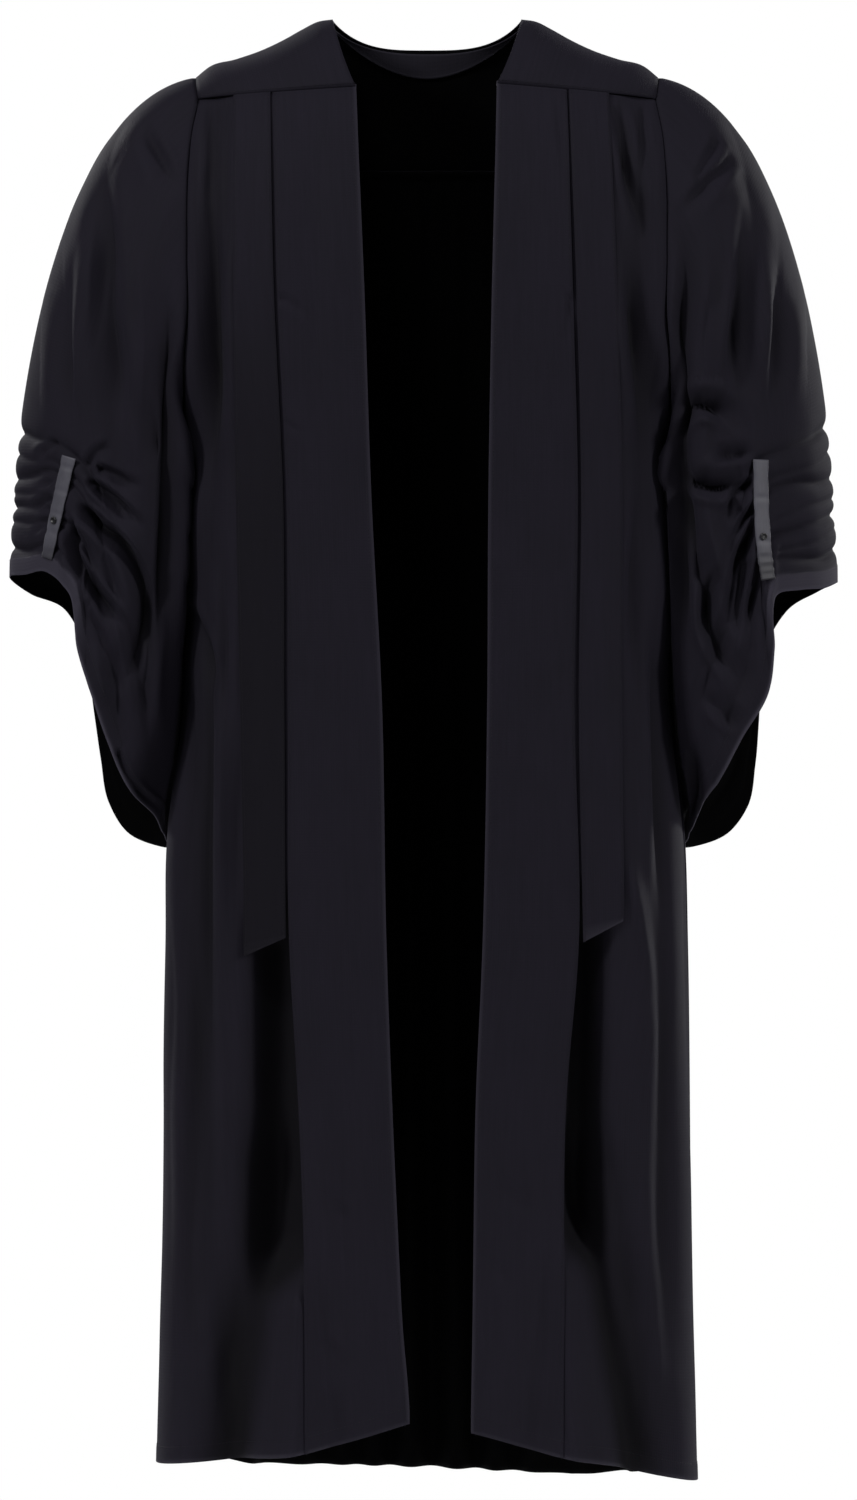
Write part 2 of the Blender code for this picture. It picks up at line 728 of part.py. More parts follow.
def fan_drop(angle, along):
    """How far the drag folds draw the cloth in."""
    total = np.zeros(np.broadcast(angle, along).shape)
    for k in range(len(FAN_FOLDS["depth"])):
        across = (FAN_FOLDS["angle_low"][k] - FAN_FOLDS["angle"][k]) * MM_PER_DEGREE
        down = (FAN_FOLDS["along_low"][k] - FAN_FOLDS["along"][k]) * MM_PER_LENGTH
        length = math.hypot(across, down)
        u = (angle - FAN_FOLDS["angle"][k]) * MM_PER_DEGREE
        v = (along - FAN_FOLDS["along"][k]) * MM_PER_LENGTH
        run = (u * across + v * down) / length
        aside = (u * down - v * across) / length
        entry = ramp((run + FAN_ENTRY / 2) / FAN_ENTRY)
        fade = entry * ramp((length + FAN_EXIT / 2 - run) / FAN_EXIT)
        total += FAN_FOLDS["depth"][k] * fade * np.exp(-((aside / FAN_FOLDS["width"][k]) ** 2))
    return total


def sleeve_stations():
    """Places along a sleeve, with one at each crest and each valley of its gathers."""
    waves = np.arange(0, GATHERS + 0.25, 0.5) / GATHERS
    return np.concatenate([UPPER_STATIONS, GATHER_START + (1 - GATHER_START) * waves])


def sleeve(side):
    """A sleeve, its gathers and drag folds sunk into its smooth surface."""
    angle, start = sleeve_angles()
    stations = sleeve_stations()
    grid = sleeve_surface(side, angle, start, stations)
    out = surface_normals(grid, True)
    drop = gather_drop(angle[None], stations[:, None]) + fan_drop(angle[None], stations[:, None])
    drop *= ramp(stations / 0.06)[:, None]
    return placed(grid - out * drop[..., None], side)


def tape_line(side, along):
    """The tape's middle line on the sleeve: its points, outward directions and sideways ones."""
    (angle_top, top), (angle_low, low) = TAPE_PATH[side]
    ring, start = sleeve_angles()
    ring = np.append(ring, 360.0)
    start = np.vstack([start, start[:1]])
    points, outs = [], []
    for share in along:
        place = top + (low - top) * share
        angle = angle_top + (angle_low - angle_top) * share
        near = angle + np.array([-0.5, 0.0, 0.5])
        loop = np.column_stack([np.interp(near, ring, start[:, k]) for k in range(3)])
        patch = sleeve_surface(side, near, loop, place + np.array([-0.01, 0.0, 0.01]))
        points.append(patch[1, 1])
        outs.append(surface_normals(patch, False)[1, 1])
    points, outs = np.array(points), np.array(outs)
    aside = np.cross(outs, np.gradient(points, axis=0))
    aside /= np.linalg.norm(aside, axis=1, keepdims=True)
    return points, outs, aside


def tape(side):
    """The satin tape over the sleeve's gathers."""
    points, outs, aside = tape_line(side, np.linspace(0, 1, TAPE_STEPS + 1))
    face = points + outs * (LAY_GAP + TAPE_WALL)
    across = np.linspace(-0.5, 0.5, 4) * TAPE_WIDTH
    return placed(face[:, None] + aside[:, None] * across[None, :, None], side)


def facing():
    """The strip sewn inside the back neckline, on the yoke's inner face."""
    grid = yoke_neck()
    inward = surface_normals(grid, False)
    inward *= np.sign(inward[0, NECK_COLUMNS // 2, 1]) * -1
    columns = range(1, NECK_COLUMNS)
    rows = []
    for i in range(FACING_ROWS + 1):
        row = []
        for j in columns:
            taper = 1 - FACING_TAPER * (abs(grid[0, j, 0]) / SHOULDER["x"][0]) ** 4
            depth = FACING_EDGE + (FACING_HEIGHT - FACING_EDGE) * i / FACING_ROWS * taper
            share = depth * YOKE_BACK_STEPS
            k = min(int(share), YOKE_BACK_STEPS - 1)
            t = share - k
            point = grid[k, j] * (1 - t) + grid[k + 1, j] * t
            lift = inward[k, j] * (1 - t) + inward[k + 1, j] * t
            row.append(point + lift * (WALL + FACING_GAP * (1 + FACING_EASE * (1 - taper))))
        rows.append(row)
    return np.array(rows)


def lofted(name, grids, closed=False):
    """One mesh from grids of points in rows and columns, joined where they share points."""
    mesh = bmesh.new()
    for grid in grids:
        rows = [[mesh.verts.new(point * MM) for point in row] for row in grid]
        count = len(rows[0]) if closed else len(rows[0]) - 1
        for upper, lower in zip(rows, rows[1:]):
            for j in range(count):
                k = (j + 1) % len(upper)
                mesh.faces.new((upper[j], lower[j], lower[k], upper[k]))
    bmesh.ops.remove_doubles(mesh, verts=mesh.verts, dist=1e-6)
    bmesh.ops.recalc_face_normals(mesh, faces=mesh.faces)
    data = bpy.data.meshes.new(name)
    mesh.to_mesh(data)
    mesh.free()
    return data


def faces_towards(data, centre):
    """Whether most faces of a mesh look away from a centre."""
    total = 0.0
    for face in data.polygons:
        away = face.center - centre
        total += away.dot(face.normal) * face.area
    return total > 0


def cloth(name, grids, wall, material, closed=False, centre=(0, 0, -0.4)):
    """A cloth wall on the outer surface that the grids give, thickened inwards."""
    data = lofted(name, grids, closed)
    if not faces_towards(data, Vector(centre)):
        data.flip_normals()
    data.shade_smooth()
    data.materials.append(material)
    part = bpy.data.objects.new(name, data)
    collection.objects.link(part)
    solid = part.modifiers.new("wall", "SOLIDIFY")
    solid.thickness = wall * MM
    solid.offset = -1.0
    solid.use_quality_normals = True
    return part


def finish(name, colour, roughness, sheen):
    """A material of one plain colour, roughness and cloth sheen."""
    material = bpy.data.materials.new(name)
    material.use_nodes = True
    shader = material.node_tree.nodes["Principled BSDF"]
    shader.inputs["Base Color"].default_value = (*colour, 1.0)
    shader.inputs["Roughness"].default_value = roughness
    shader.inputs["Metallic"].default_value = 0.0
    shader.inputs["Sheen Weight"].default_value = sheen
    return material


def button(side, material):
    """A small button on the tape."""
    points, outs, _ = tape_line(side, BUTTON_PLACE + np.array([-0.05, 0.0, 0.05]))
    out = placed(outs[1], side)
    centre = placed(points[1], side) + out * (2 * LAY_GAP + TAPE_WALL + BUTTON_DEPTH / 2)
    bpy.ops.mesh.primitive_cylinder_add(
        vertices=16, radius=BUTTON_RADIUS * MM, depth=BUTTON_DEPTH * MM, location=centre * MM
    )
    part = bpy.context.object
    part.name = part.data.name = "button_" + side
    part.rotation_mode = "QUATERNION"
    part.rotation_quaternion = Vector(out).to_track_quat("Z", "Y")
    part.data.materials.append(material)
    for owner in list(part.users_collection):
        owner.objects.unlink(part)
    collection.objects.link(part)
    return part


def clear_scene():
    """Removes what the file holds."""
    for item in list(bpy.data.objects):
        bpy.data.objects.remove(item)


clear_scene()
collection = bpy.data.collections.new("lawyer_gown")
bpy.context.scene.collection.children.link(collection)

stuff = finish("black_gown_stuff", (0.0125, 0.0120, 0.0165), 0.78, 0.25)
facing_stuff = finish("black_facing_stuff", (0.018, 0.0175, 0.023), 0.7, 0.25)
satin = finish("grey_satin_tape", (0.10, 0.10, 0.12), 0.38, 0.1)
horn = finish("black_button", (0.01, 0.01, 0.012), 0.35, 0.0)

cloth(
    "yoke",
    [
        yoke_half("left", "front"),
        yoke_half("left", "back"),
        yoke_neck(),
        yoke_half("right", "back"),
        yoke_half("right", "front"),
    ],
    WALL,
    stuff,
)
cloth("neck_facing", [facing()], WALL, facing_stuff, centre=(0, -0.5, 0))
cloth("back", [back_panel()], WALL, stuff)
for hand, sign in (("left", -1), ("right", 1)):
    cloth("front_" + hand, [front_panel(hand)], WALL, stuff)
    cloth("band_" + hand, [band(hand)], BAND_WALL, stuff)
    cloth("strip_" + hand, [strip(hand)], WALL, stuff)
    cloth("sleeve_" + hand, [sleeve(hand)], WALL, stuff, True, (sign * 0.27, 0, -0.35))
    cloth("tape_" + hand, [tape(hand)], TAPE_WALL, satin, False, (sign * 0.25, 0, -0.4))
    button(hand, horn)
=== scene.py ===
"""The lawyer gown dressed: its cloth, creases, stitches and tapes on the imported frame.

Sizes are in millimetres and become metres when a mesh is made. Left and right are the picture's.
The front faces -Y, +Z is up, and the origin lies midway between the shoulders at their height.
"""

import math

import bpy
import numpy as np
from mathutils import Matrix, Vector


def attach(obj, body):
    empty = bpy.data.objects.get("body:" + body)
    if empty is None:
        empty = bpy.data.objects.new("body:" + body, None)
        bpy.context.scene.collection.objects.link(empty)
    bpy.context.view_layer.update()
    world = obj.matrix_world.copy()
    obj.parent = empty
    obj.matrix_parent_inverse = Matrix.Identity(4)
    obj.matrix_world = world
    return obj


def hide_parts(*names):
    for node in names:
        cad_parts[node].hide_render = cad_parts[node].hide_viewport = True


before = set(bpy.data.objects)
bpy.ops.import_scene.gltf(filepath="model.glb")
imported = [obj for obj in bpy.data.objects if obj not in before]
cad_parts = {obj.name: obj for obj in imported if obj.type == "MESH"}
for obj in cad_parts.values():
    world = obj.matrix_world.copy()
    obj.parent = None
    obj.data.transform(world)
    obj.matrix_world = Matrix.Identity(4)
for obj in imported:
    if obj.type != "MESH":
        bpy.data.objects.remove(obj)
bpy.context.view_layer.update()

MM = 0.001

# Walls of the dressed cloth and the gaps between the panels
SHELL = 0.9
BAND_SHELL = 1.3
TAPE_SHELL = 0.7
BAND_WALL = 1.6
WALL = 1.3
TAPE_WALL = 1.0
SEAM_GAP = 0.3
LAY_GAP = 0.5
SIDE_GAP = 0.6
STRIP_GAP = 0.7
FACING_GAP = 0.8
FACING_EASE = 5.0
CORNER_GAP = 0.7
SLEEVE_CLEARANCE = 4.0
CLEARANCE_RUN = 40.0
DEEPEST_REACH = 0.2

# Places that a panel's outer face looks away from
BODY_CENTRE, YOKE_CENTRE = (0, 0, -600), (0, 0, -400)
SLEEVE_CENTRE, TAPE_CENTRE = (270, 0, -350), (250, 0, -400)
BEHIND_NECK = (0, 500, 0)

# Rows and columns of the dressed cloth
ROW_SAMPLES = 400
YOKE_FRONT_STEPS = 18
YOKE_BACK_STEPS = 32
ARM_FRONT_STEPS = 84
ARM_BACK_STEPS = 64
SHOULDER_SHARES = np.linspace(0, 1, 42)
NECK_COLUMNS = 56
BAND_SHARES = np.linspace(0, 1, 27)
STRIP_SHARES = np.linspace(0, 1, 13)
FRONT_SPACING, FRONT_MAIN, FRONT_SIDE = 3.0, 28, 30
BACK_SPACING, BACK_MAIN, BACK_SIDE = 3.3333, 60, 14
FRONT_ROWS = np.linspace(-354, -1250, 225)
BACK_ROWS = np.linspace(-354, -1250, 205)


def table(columns, rows):
    """A short table as named columns."""
    return dict(zip(columns, np.array(rows, float).T))


# Sections of the body, from the collar bones down to the hem: half width, squareness and depths
BODY = table(
    ("z", "half_width", "squareness", "front", "back"),
    (
        (-30, 219, 2.4, 80, 74),
        (-42, 221, 2.5, 88, 80),
        (-100, 226, 4.0, 109, 100),
        (-180, 233, 4.0, 124, 115),
        (-250, 232, 4.0, 128, 122),
        (-320, 218, 3.8, 129, 125),
        (-350, 213.5, 3.6, 129, 126),
        (-400, 214.5, 3.5, 128, 127),
        (-570, 217, 3.4, 126, 131),
        (-700, 228, 3.2, 124, 135),
        (-780, 230, 3.1, 123, 138),
        (-1040, 233, 3.0, 121, 147),
        (-1260, 238, 2.9, 123, 155),
    ),
)

# The shoulder line, from the neck point to the end of the yoke
SHOULDER = table(
    ("x", "z"),
    ((83, 31), (96, 29), (110, 22), (126, 13), (145, 4), (168, -4), (192, -11), (203, -20)),
)

# The armhole below the yoke, from the front seam under the arm to the back seam
ARMHOLE = table(
    ("y", "z"),
    (
        (-48, -42),
        (-80, -100),
        (-96, -180),
        (-98, -250),
        (-68, -320),
        (0, -350),
        (66, -320),
        (94, -250),
        (90, -180),
        (74, -99),
    ),
)
UNDERARM_ROW = 5
UNDERARM_Z = -350.0

# How far the yoke leans out for each unit that it falls at its seams, at the armhole and the neck
FRONT_LEAN = (0.72, 0.45)
BACK_LEAN = (0.22, 0.24)
BACK_SEAM_Z = -99.0

# The back neckline: how far back it lies, its lowest point and how squarely it turns and rises
NECK_BACK, NECK_LOW = 68.0, 10.0
NECK_TURN, NECK_RISE = 2.6, 3.5

# The front edges: where each band starts and ends across, at each height
EDGES = table(
    ("z", "left_inner", "left_outer", "right_inner", "right_outer"),
    (
        (-30, 62, 134, 61, 121),
        (-216, 54, 129, 56, 126),
        (-392, 48, 121, 53, 130),
        (-568, 39, 120, 52, 127),
        (-779, 35, 119, 48, 131),
        (-920, 30, 111, 42, 120),
        (-1052, 24, 106, 40, 118),
        (-1240, 15, 104, 38, 116),
    ),
)
FRONT_SEAM = {"left": (-34, -42), "right": (-31, -42)}
UNDER_BAND = 9.0
BAND_RAMP = 30.0
SEAM_RISE = 60.0
ARM_MARGIN, ARM_RUN = 6.0, 20.0
CORNER_START = 125.0

# The hem of each front, from its inner corner to the side seam
HEM = table(
    ("x", "left", "right"),
    ((15, -1194, -1196), (60, -1208, -1208), (105, -1220, -1221), (180, -1228, -1236), (240, -1236, -1252)),
)
HEM_RISE = 170.0

# The hanging strips: their outer and inner edges, and the heights where they are cut off
STRIP = table(
    ("z", "left_outer", "left_inner", "right_inner", "right_outer"),
    (
        (-42, 168, 136, 123, 158),
        (-216, 166, 132, 129, 164),
        (-392, 162, 124, 133, 168),
        (-568, 158, 123, 131, 168),
        (-780, 156, 122, 135, 169),
    ),
)
STRIP_END = {"left": (-790, -774), "right": (-760, -778)}

# How far a strip's outer edge stands off where it hangs loose, and where it comes loose
STRIP_TILT = {"left": 6.0, "right": 1.0}
STRIP_HELD, STRIP_LOOSENING = -70.0, 260.0
# How much darker a strip's colour is painted below the chest, as painted shade: a share of a deep fold's
# painted shade
STRIP_SHADE = {"left": 0.62, "right": 0.0}
SHADE_START, SHADE_RUN = -130.0, 300.0

# Long folds of the fronts: where each runs, how wide and how deep; a depth below zero stands out
FRONT_FOLDS = {
    "left": table(
        ("x_top", "z_top", "x_low", "z_low", "width", "depth"),
        (
            (186, -70, 190, -420, 12, 5),
            (204, -480, 196, -1110, 16, 6),
            (125, -790, 126, -1030, 27, 33),
            (144, -985, 176, -1230, 23, 17),
            (163, -800, 166, -1060, 15, -5),
        ),
    ),
    "right": table(
        ("x_top", "z_top", "x_low", "z_low", "width", "depth"),
        (
            (184, -80, 192, -400, 12, 5),
            (212, -560, 206, -1230, 15, 6),
            (134, -785, 134, -1005, 19, 33),
            (140, -985, 184, -1215, 18, 18),
            (176, -720, 192, -850, 11, -4),
        ),
    ),
}
FOLD_FADE = 70.0
FOLD_SQUARENESS, FOLD_DEEP = 3.0, 20.0
CREASE_SHARP, CREASE_SHOULDER = 1.35, 0.3
SEWN_WALL, SEWN_START = 9.0, 7.5
# The fold depth at which the painted shade in a fold is full, and how it grows towards it
HOLLOW_DEPTH, HOLLOW_TURN = 19.0, 1.3

# Folds given as lines across and up the panel: points, width at both ends and depth
FRONT_LINES = {
    "left": (
        (((210, -66), (208, -119), (207, -172), (212, -251)), 6, 11, 9),
        (((196, -84), (188, -172), (187, -286), (194, -409)), 8, 14, 15),
        (((183, -46), (184, -100), (182, -170)), 3, 5, 4),
        (((192, -46), (190, -94), (193, -150)), 3, 4.5, 5),
        (((174, -36), (175, -110), (173, -216)), 3.5, 5, 4),
        (((197, -374), (194, -524), (196, -700), (194, -876), (196, -1096)), 7, 13, 11),
        (((216, -444), (212, -603), (216, -744), (217, -920)), 7, 9, 8),
        (((179, -409), (177, -515), (179, -620)), 7, 8, 8),
        (((159, -568), (163, -682), (165, -796)), 6, 6, 4),
        (((210, -726), (207, -867), (212, -1025), (209, -1166)), 8, 10, 9),
        (((165, -1034), (173, -1104), (181, -1166), (187, -1219)), 9, 13, 6),
        (((187, -1043), (193, -1131), (189, -1210)), 6, 8, -5),
        (((228, -708), (225, -832), (228, -964), (226, -1131)), 6, 8, 6),
        (((221, -471), (200, -515), (187, -568)), 5, 8, 8),
    ),
    "right": (
        (((209, -78), (212, -119), (216, -163)), 4, 6, 8),
        (((162, -48), (172, -101), (184, -145), (198, -182)), 4, 7, 9),
        (((173, -163), (179, -229), (187, -295), (193, -374)), 7, 13, 14),
        (((190, -46), (188, -104), (191, -170)), 3, 5, 5),
        (((202, -198), (203, -268), (198, -356)), 9, 11, 8),
        (((169, -43), (172, -92), (173, -154)), 3, 5, 6),
        (((207, -744), (212, -884), (210, -1025), (217, -1201)), 8, 13, 8),
        (((196, -444), (202, -568), (207, -682), (209, -796)), 7, 9, 9),
        (((187, -365), (180, -480), (187, -603)), 7, 8, 8),
        (((172, -700), (184, -761), (196, -832)), 5, 6, -5),
        (((231, -497), (230, -656), (233, -832), (231, -1008)), 8, 10, 6),
        (((172, -1008), (182, -1087), (189, -1148), (196, -1219)), 9, 12, 7),
        (((158, -937), (170, -1025), (182, -1122)), 8, 10, 7),
        (((198, -1052), (203, -1122), (207, -1210)), 6, 8, -5),
    ),
}

# Where each front stands out beside its band towards the hem, and lifts the band's margin with it
HEM_FLARES = {
    "left": ((((110, -1030), (111, -1100), (113, -1180), (116, -1289)), 6, 26, -33),),
    "right": ((((118, -1020), (120, -1100), (123, -1180), (127, -1289)), 6, 24, -29),),
}

# Small puckers where the bands are sewn down, and the soft waves of the bands and strips
BAND_LINES = {
    "left": (
        (((131, -218), (118, -224), (102, -236)), 2, 4, 2.6),
        (((127, -322), (116, -332), (106, -338)), 2, 3, 1.2),
        (((96, -60), (97, -240), (92, -420)), 12, 12, 2.0),
        (((84, -420), (75, -650), (74, -880)), 14, 14, -2.4),
        (((66, -760), (73, -970), (72, -1180)), 12, 12, 2.6),
        (((98, -900), (87, -1050), (84, -1200)), 9, 9, -2.4),
        (((48, -980), (48, -1095), (42, -1210)), 9, 9, 2.0),
        (((88, -985), (76, -1012), (60, -1020)), 6, 8, 1.8),
        (((96, -1115), (82, -1130), (70, -1170)), 6, 8, 1.6),
    ),
    "right": (
        (((124, -216), (122, -240), (118, -266)), 3, 4, 2.4),
        (((116, -214), (122, -226), (125, -246)), 2, 3, 1.6),
        (((113, -44), (116, -90), (119, -140)), 2.5, 3.5, 2.6),
        (((88, -60), (84, -230), (86, -400)), 12, 12, 2.0),
        (((104, -420), (106, -640), (100, -860)), 14, 14, -2.4),
        (((74, -700), (68, -940), (70, -1180)), 12, 12, 2.6),
        (((88, -850), (84, -905), (80, -965)), 8, 10, 2.6),
        (((98, -940), (97, -1070), (88, -1200)), 9, 9, -2.6),
        (((58, -1000), (58, -1100), (54, -1205)), 9, 9, 2.2),
        (((66, -985), (78, -1005), (96, -1010)), 6, 8, 1.8),
        (((44, -1040), (60, -1062), (80, -1085)), 6, 8, 1.6),
    ),
}
STRIP_LINES = {
    "left": (
        (((150, -80), (151, -250), (146, -420)), 7, 8, 1.3),
        (((161, -330), (160, -560), (157, -790)), 8, 9, -4.0),
        (((146, -640), (138, -690), (130, -700)), 4, 5, 1.2),
    ),
    "right": (
        (((138, -80), (145, -240), (146, -400)), 7, 8, 1.3),
        (((154, -340), (152, -540), (156, -740)), 8, 9, -2.6),
        (((144, -540), (148, -650), (148, -760)), 6, 6, 1.2),
    ),
}

# The gathered back: small gathers under the yoke open into wide flutes at the hem
FLUTES = 12
FLUTED_WIDTH = (205.0, 228.0)
GATHER_DEPTH = 2.6
GATHER_PITCH = 20.0
FLUTE_DEPTH = 13.0
FLUTE_CALM = 0.72
GATHER_FALL = 0.3
BACK_HEM = table(("x", "z"), ((-240, -1236), (-150, -1252), (0, -1256), (130, -1262), (240, -1252)))

# The cuff and the hanging hem of each sleeve, from its outer tip to its lowest point
SLEEVE_HEM = {
    "left": table(
        ("x", "y", "z"),
        (
            (367, 0, -459),
            (352, -34, -458),
            (333, -60, -456),
            (311, -83, -476),
            (304, -90, -524),
            (291, -90, -566),
            (279, -86, -602),
            (259, -74, -646),
            (240, -42, -667),
            (232, 16, -686),
            (220, 66, -697),
            (236, 90, -698),
            (266, 95, -686),
            (284, 96, -658),
            (291, 97, -620),
            (298, 96, -570),
            (305, 94, -520),
            (322, 80, -487),
            (350, 48, -474),
        ),
    ),
    "right": table(
        ("x", "y", "z"),
        (
            (361, 0, -464),
            (347, -34, -470),
            (326, -60, -472),
            (303, -84, -478),
            (302, -90, -524),
            (296, -90, -564),
            (275, -86, -600),
            (256, -74, -636),
            (240, -42, -662),
            (232, 16, -684),
            (220, 66, -697),
            (236, 90, -698),
            (268, 95, -686),
            (286, 96, -662),
            (293, 97, -624),
            (297, 96, -570),
            (302, 94, -520),
            (320, 80, -488),
            (345, 48, -472),
        ),
    ),
}
HEM_LOW_ROW = 10

# How a sleeve leaves the armhole and how it falls at its hem
SLEEVE_START = (370.0, 330.0)
SLEEVE_FALL = table(
    ("angle", "out", "back", "up"),
    (
        (0, 0, 0, -440),
        (35, 50, -10, -410),
        (60, 190, -30, -330),
        (85, 220, -20, -300),
        (115, 150, 0, -300),
        (150, 60, 10, -320),
        (180, 10, 30, -330),
        (215, 30, 30, -330),
        (255, 130, 20, -310),
        (290, 190, 20, -310),
        (320, 90, 10, -390),
        (360, 0, 0, -440),
    ),
)

# Under the arm the sleeve hangs against the body: how far in, between these angles
SLEEVE_WRAP = 26.0
WRAP_ANGLES = (105, 150, 225, 262)

# Where the sleeve's columns are twice as close, and its rows, closest along the gathers
FINE_ANGLES = (26, 108)
SLEEVE_STATIONS = np.concatenate(
    [np.linspace(0, 0.27, 28), np.linspace(0.277, 0.62, 52), np.linspace(0.624, 1.0, 94)]
)

# The gathers beside the tape: place along the sleeve, slant, width and depth
GATHER_LINES = {
    "left": (
        (0.757, 0.00, 4.0, 5.4),
        (0.786, 0.03, 2.6, 3.5),
        (0.822, -0.02, 3.6, 6.2),
        (0.850, 0.04, 2.0, 2.2),
        (0.876, 0.01, 3.4, 5.9),
        (0.905, -0.03, 2.6, 4.1),
        (0.944, 0.01, 3.6, 5.7),
    ),
    "right": (
        (0.741, -0.01, 4.0, 5.7),
        (0.776, 0.02, 3.0, 3.5),
        (0.812, -0.02, 3.6, 6.2),
        (0.846, 0.03, 2.4, 3.0),
        (0.880, 0.00, 3.8, 6.2),
        (0.905, 0.02, 2.2, 2.4),
        (0.938, -0.01, 3.6, 5.9),
    ),
}

# The drag folds that fan from the tape: angle round the sleeve, place along it, width and depth
FAN_FOLDS = table(
    ("angle", "along", "angle_low", "along_low", "width", "depth"),
    (
        (50, 0.74, 104, 0.70, 9, 6),
        (50, 0.80, 112, 0.82, 10, 8),
        (48, 0.86, 104, 0.95, 10, 8),
        (46, 0.91, 76, 1.00, 9, 7),
        (8, 0.20, 40, 0.42, 14, 4),
        (130, 0.25, 120, 0.60, 16, 6),
        (310, 0.80, 250, 0.84, 11, 7),
        (312, 0.88, 262, 0.98, 10, 6),
        (230, 0.25, 238, 0.62, 17, 6),
    ),
)
MM_PER_DEGREE = 2.27
MM_PER_LENGTH = 430.0
FAN_ENTRY, FAN_EXIT = 20.0, 45.0

# Folds of each sleeve's front, given in the same way; its back has like ones
SLEEVE_LINES = {
    "left": (
        (
            (
                (230, -189), (224, -255), (224, -304), (224, -348),
                (224, -392), (226, -440), (230, -497), (234, -568),
            ),
            9, 11, 21,
        ),
        (((288, -365), (274, -370), (258, -378), (244, -385)), 3, 5, 8),
        (((297, -376), (277, -388), (256, -407), (244, -422)), 3, 5, 13),
        (((305, -396), (283, -416), (260, -437), (247, -473), (250, -519), (272, -572)), 4, 9, 21),
        (((309, -409), (304, -444), (288, -471), (268, -499), (260, -524)), 3, 6, 15),
        (((312, -418), (306, -450), (304, -483)), 2.5, 4, 10),
        (((298, -365), (288, -352), (272, -346)), 3, 5, 6),
        (((291, -383), (272, -399), (256, -418)), 2, 3, 5),
        (((251, -59), (244, -73), (231, -97), (217, -132)), 5, 7, 7),
        (((281, -101), (278, -154), (276, -234), (268, -292), (263, -343)), 9, 11, 13),
        (((309, -172), (314, -233), (313, -295), (311, -348)), 7, 6, 8),
        (((291, -132), (293, -198), (295, -234), (302, -273)), 5, 6, -5),
        (((253, -163), (247, -216), (244, -268), (247, -330)), 8, 8, -5),
        (((242, -304), (238, -339), (235, -374)), 6, 6, 7),
        (((240, -444), (238, -497), (244, -559), (242, -620)), 6, 7, 9),
        (((270, -610), (259, -636), (244, -654), (233, -666)), 3, 4, 6),
        (((290, -515), (284, -550), (270, -578)), 8, 9, -6),
        (((295, -480), (284, -515), (274, -539)), 4, 5, 5),
        (((323, -343), (334, -349), (342, -358)), 2.5, 3, 5),
        (((321, -370), (332, -379), (341, -381)), 2.5, 3, 4),
        (((325, -392), (335, -394), (346, -402)), 2.5, 3, 5),
        (((328, -409), (337, -416), (346, -423)), 2.5, 3, 4),
    ),
    "right": (
        (
            (
                (213, -128), (223, -182), (220, -251), (218, -304),
                (217, -365), (217, -431), (220, -497), (224, -568),
            ),
            6, 11, 21,
        ),
        (((211, -352), (218, -328), (234, -314), (252, -318), (270, -338)), 7, 7, 15),
        (((214, -363), (228, -378), (250, -385), (270, -381), (286, -368)), 7.5, 6, 15),
        (((246, -358), (266, -356), (287, -353)), 5.5, 4.5, 8),
        (((288, -375), (269, -389), (260, -416)), 3.5, 5.5, 11),
        (((291, -392), (278, -407), (268, -431)), 3, 4, 9),
        (((292, -404), (274, -436), (264, -473), (258, -524)), 3.5, 7, 15),
        (((297, -427), (282, -480), (277, -519)), 3, 6, 13),
        (((254, -449), (243, -478), (245, -508), (256, -532), (277, -559)), 6, 7, 17),
        (((220, -374), (226, -418), (238, -462), (246, -502)), 6, 8, 14),
        (((240, -409), (251, -444), (260, -480)), 5, 6, -5),
        (((279, -444), (272, -488), (265, -532)), 3.5, 5, 7),
        (((240, -559), (254, -578), (275, -594)), 6, 6, 6),
        (((231, -603), (230, -647), (226, -682)), 5, 6, 11),
        (((267, -92), (246, -115), (230, -133), (219, -154)), 4, 6, 7),
        (((254, -75), (242, -99), (231, -128)), 3.5, 5, 5),
        (((275, -128), (275, -202), (268, -268), (272, -321)), 7, 9, 13),
        (((308, -185), (305, -268), (300, -329)), 7, 7, 10),
        (((290, -154), (290, -233), (286, -304)), 6, 6, -4),
        (((240, -163), (244, -233), (240, -304)), 8, 8, -4),
        (((251, -189), (242, -242), (240, -286), (246, -326)), 5, 6, 6),
    ),
}
BACK_LINES_SHARE = 0.75
FACING_TURN, FACING_RUN = 0.1, 0.4
FAN_SHARE, SLEEVE_ENTRY = 0.45, 0.035
LINE_STEP, LINE_REACH = 4.0, 3.4
LINE_ENTRY, LINE_EXIT, LINE_BROAD = (0.08, 0.4), 0.42, 4.5
LINE_CRISP, LINE_SOFT, LINE_FLARE = 1.45, 0.8, 3.0

TAPE_WIDTH = 14.6
TAPE_MARGIN = 5.0
# How much lighter the cuff's turned hem is painted as a highlight, and up to what angle round the sleeve
CUFF_HIGHLIGHT, CUFF_TURN = 0.5, 70.0
TAPE_STEPS = 60
TAPE_COLUMNS = 12
TAPE_PATH = {"left": ((36.0, 0.765), (29.0, 0.972)), "right": ((43.0, 0.735), (46.0, 0.952))}
TAPE_PUCKERS = {
    "left": ((0.10, 1.0), (0.33, 1.3), (0.55, 0.8), (0.74, 1.3), (0.93, 1.5)),
    "right": ((0.30, 0.6), (0.66, 0.8), (0.80, 1.2), (0.88, 1.4), (0.95, 1.4)),
}
BUTTON_PLACE = 0.62
BUTTON_TURNS = 28
BUTTON_PROFILE = (
    (0.0, 0.0), (2.6, 0.0), (3.2, 0.5), (3.2, 1.2),
    (2.8, 1.8), (2.2, 1.7), (1.6, 1.2), (0.0, 1.05),
)

# The neck facing: its height as a share of the yoke's, its distance from the edge and its taper
FACING_HEIGHT, FACING_EDGE, FACING_TAPER = 0.19, 0.02, 0.55
FACING_ROWS = 12

